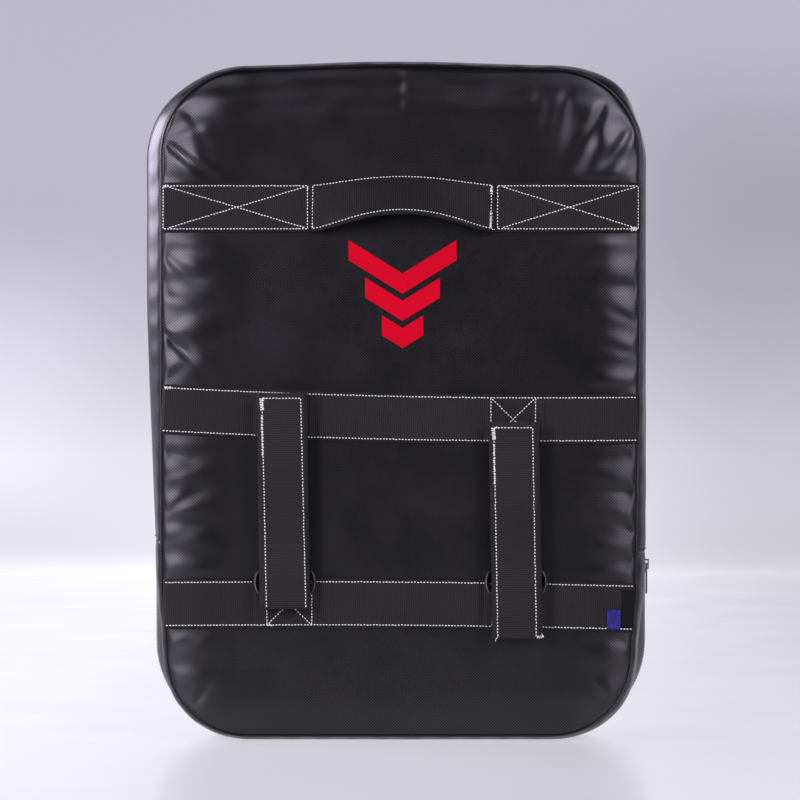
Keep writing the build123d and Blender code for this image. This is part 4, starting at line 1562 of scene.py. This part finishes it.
# ---------------------------------------------------------------- camera, stage and lights


CAMERA_LENS, SENSOR, CAMERA_CLIP = 145.45, 36, 30
CAMERA_X, CAMERA_AWAY, CAMERA_Z = -0.0007, 3.2, 0.339


def build_camera():
    """Level with the shield's middle, looking at the handle side."""
    data = bpy.data.cameras.new("camera")
    data.lens, data.sensor_width, data.clip_end = CAMERA_LENS, SENSOR, CAMERA_CLIP
    camera = bpy.data.objects.new("camera", data)
    bpy.context.scene.collection.objects.link(camera)
    camera.location = (CAMERA_X, -(PANEL_Y + CAMERA_AWAY), CAMERA_Z)
    camera.rotation_euler = (math.radians(90), 0, 0)
    bpy.context.scene.camera = camera


# The floor's share of the wall's painted glow
FLOOR_GLOW = 0.56


def stage_material():
    """A pale sweep whose emission is painted light: lilac grey high on the wall, brightening to white low down,
    more on the left, with a painted pool of light low in the middle.
    """
    n = Nodes("pale_sweep")
    x, y, z = n.axes(n.place())

    def ease(value, start, end, low=0.0, high=1.0):
        values = {"Value": value, "From Min": start, "From Max": end, "To Min": low, "To Max": high}
        return n.add("MapRange", values, interpolation_type="SMOOTHSTEP").outputs["Result"]

    def scaled(value, factor):
        return n.math("MULTIPLY", value, factor)

    def hill(value, middle, width):
        off = n.math("DIVIDE", n.math("SUBTRACT", value, middle), width)
        return n.math("EXPONENT", scaled(n.math("MULTIPLY", off, off), -1.0))

    # Painted light: the sweep's emission stands in for the studio lights' fall-off, with painted shade high on
    # the right, painted brightening on the left and a painted pool of light on the floor behind the shield
    down = ease(z, 0.76, -0.04)
    right = n.math("MULTIPLY", ease(x, 0.30, 0.75), ease(z, 1.21, 0.83))
    left = n.math("MULTIPLY", ease(x, -0.49, -0.90), ease(z, 0.78, 0.42))
    left = n.math("MULTIPLY", left, ease(z, 0.0, 0.22))
    glow = n.math("MULTIPLY", hill(x, -0.08, 0.57), hill(z, 0.0, 0.24))
    slant = n.math("SUBTRACT", 0.30, scaled(x, 0.035))
    level = n.math("ADD", scaled(right, -0.11), n.math("MULTIPLY", down, slant))
    level = n.math("ADD", level, n.math("ADD", scaled(left, 0.14), scaled(glow, 0.25)))
    floor_left = n.math("MULTIPLY", ease(x, -0.20, -0.42), ease(z, 0.04, 0.0))
    level = n.math("ADD", level, n.math("ADD", 0.455, scaled(floor_left, 0.12)))
    # Painted shade: the floor and the foot of the wall glow less than the wall
    rise = n.math("POWER", n.math("DIVIDE", z, 0.22, clamp=True), 0.42)
    level = n.math("MULTIPLY", level, n.math("ADD", FLOOR_GLOW, scaled(rise, 1 - FLOOR_GLOW)))
    # In front of the shield the painted light shows to the camera only and lights nothing
    seen = n.add("LightPath").outputs["Is Camera Ray"]
    level = n.math("MULTIPLY", level, n.math("MAXIMUM", ease(y, -1.15, -0.70), seen))
    n.set(Base_Color=(0.14, 0.135, 0.145, 1.0), Emission_Strength=level)
    n.set(Emission_Color=n.ramp(down, (0.965, 0.940, 1.110), (0.975, 0.965, 1.045), at=(0.0, 1.0)))
    grain = n.spread(n.noise(n.place(), 6.0), 0.20, 0.25)
    n.set(Roughness=n.math("ADD", grain, ease(z, 0.0, 0.35, 0.0, 0.75)), Specular_IOR_Level=0.5)
    return n.material


def build_stage():
    """A floor that sweeps up into the backdrop."""
    wall, radius, reach, top = 3.9, 0.9, 9.0, 5.0
    bend = wall - radius
    profile = [(-reach, 0.0), (bend, 0.0)]
    profile += [(bend + radius * math.sin(a), radius * (1 - math.cos(a)))
                for a in (math.pi / 2 * i / 24 for i in range(1, 25))]
    profile += [(wall, radius + 0.05), (wall, radius + 0.4), (wall, top)]
    verts = [(x, y, z) for y, z in profile for x in (-reach, reach)]
    faces = strip_faces(len(profile), 2)
    sweep = make_piece("studio_sweep", verts, faces, stage_material())


SOFT_LILAC = (0.86, 0.81, 1.0)


def area_light(name, place, target, size, power, colour=(1, 1, 1)):
    data = bpy.data.lights.new(name, "AREA")
    data.shape = "RECTANGLE"
    data.size, data.size_y = size
    data.energy = power
    data.color = colour
    lamp = bpy.data.objects.new(name, data)
    bpy.context.scene.collection.objects.link(lamp)
    lamp.location = place
    lamp.visible_camera = False
    way = Vector(target) - Vector(place)
    lamp.rotation_euler = way.to_track_quat("-Z", "Y").to_euler()


# Place, target, size and power of each light
LIGHTS = {
    "left_softbox": ((-1.65, -2.20, 1.02), (0, -0.07, 0.45), (0.85, 1.2), 56),
    "right_softbox": ((1.75, -2.15, 0.85), (0, -0.07, 0.40), (0.65, 1.3), 20),
    "left_rim": ((-1.70, 0.35, 1.02), (-0.24, -0.06, 0.50), (0.9, 0.9), 38),
    "right_rim": ((1.75, 0.25, 0.75), (0.24, -0.06, 0.40), (0.8, 1.0), 4),
    "high_left_softbox": ((-1.05, -1.70, 1.70), (0, -0.07, 0.52), (0.6, 0.5), 3.5),
    "high_right_softbox": ((1.30, -1.70, 1.60), (0.1, -0.07, 0.55), (0.8, 0.7), 22),
}


def build_lights():
    """Large lilac softboxes on both sides, stronger on the left, two high ones and one far white one."""
    for name, values in LIGHTS.items():
        area_light(name, *values, SOFT_LILAC)
    area_light("far_softbox", (1.4, 2.9, 1.6), (0, 0.07, 0.34), (1.4, 1.2), 7)
    world = bpy.data.worlds.new("studio")
    world.use_nodes = True
    tree = world.node_tree
    background = tree.nodes["Background"]
    background.inputs["Color"].default_value = (0.55, 0.54, 0.60, 1)
    seen = tree.nodes.new("ShaderNodeLightPath")
    level = tree.nodes.new("ShaderNodeMapRange")
    level.inputs["To Min"].default_value, level.inputs["To Max"].default_value = 0.05, 1.0
    tree.links.new(seen.outputs["Is Camera Ray"], level.inputs["Value"])
    tree.links.new(level.outputs["Result"], background.inputs["Strength"])
    bpy.context.scene.world = world
    bpy.context.scene.view_settings.view_transform = "Standard"


build_camera()
build_stage()
build_lights()
build_cover()
build_foams()
build_bands()
build_handle()
for strap_side in ("left", "right"):
    build_strap(strap_side)
    build_ring(strap_side)
build_zip()
build_trim()
paint_frame_nodes()
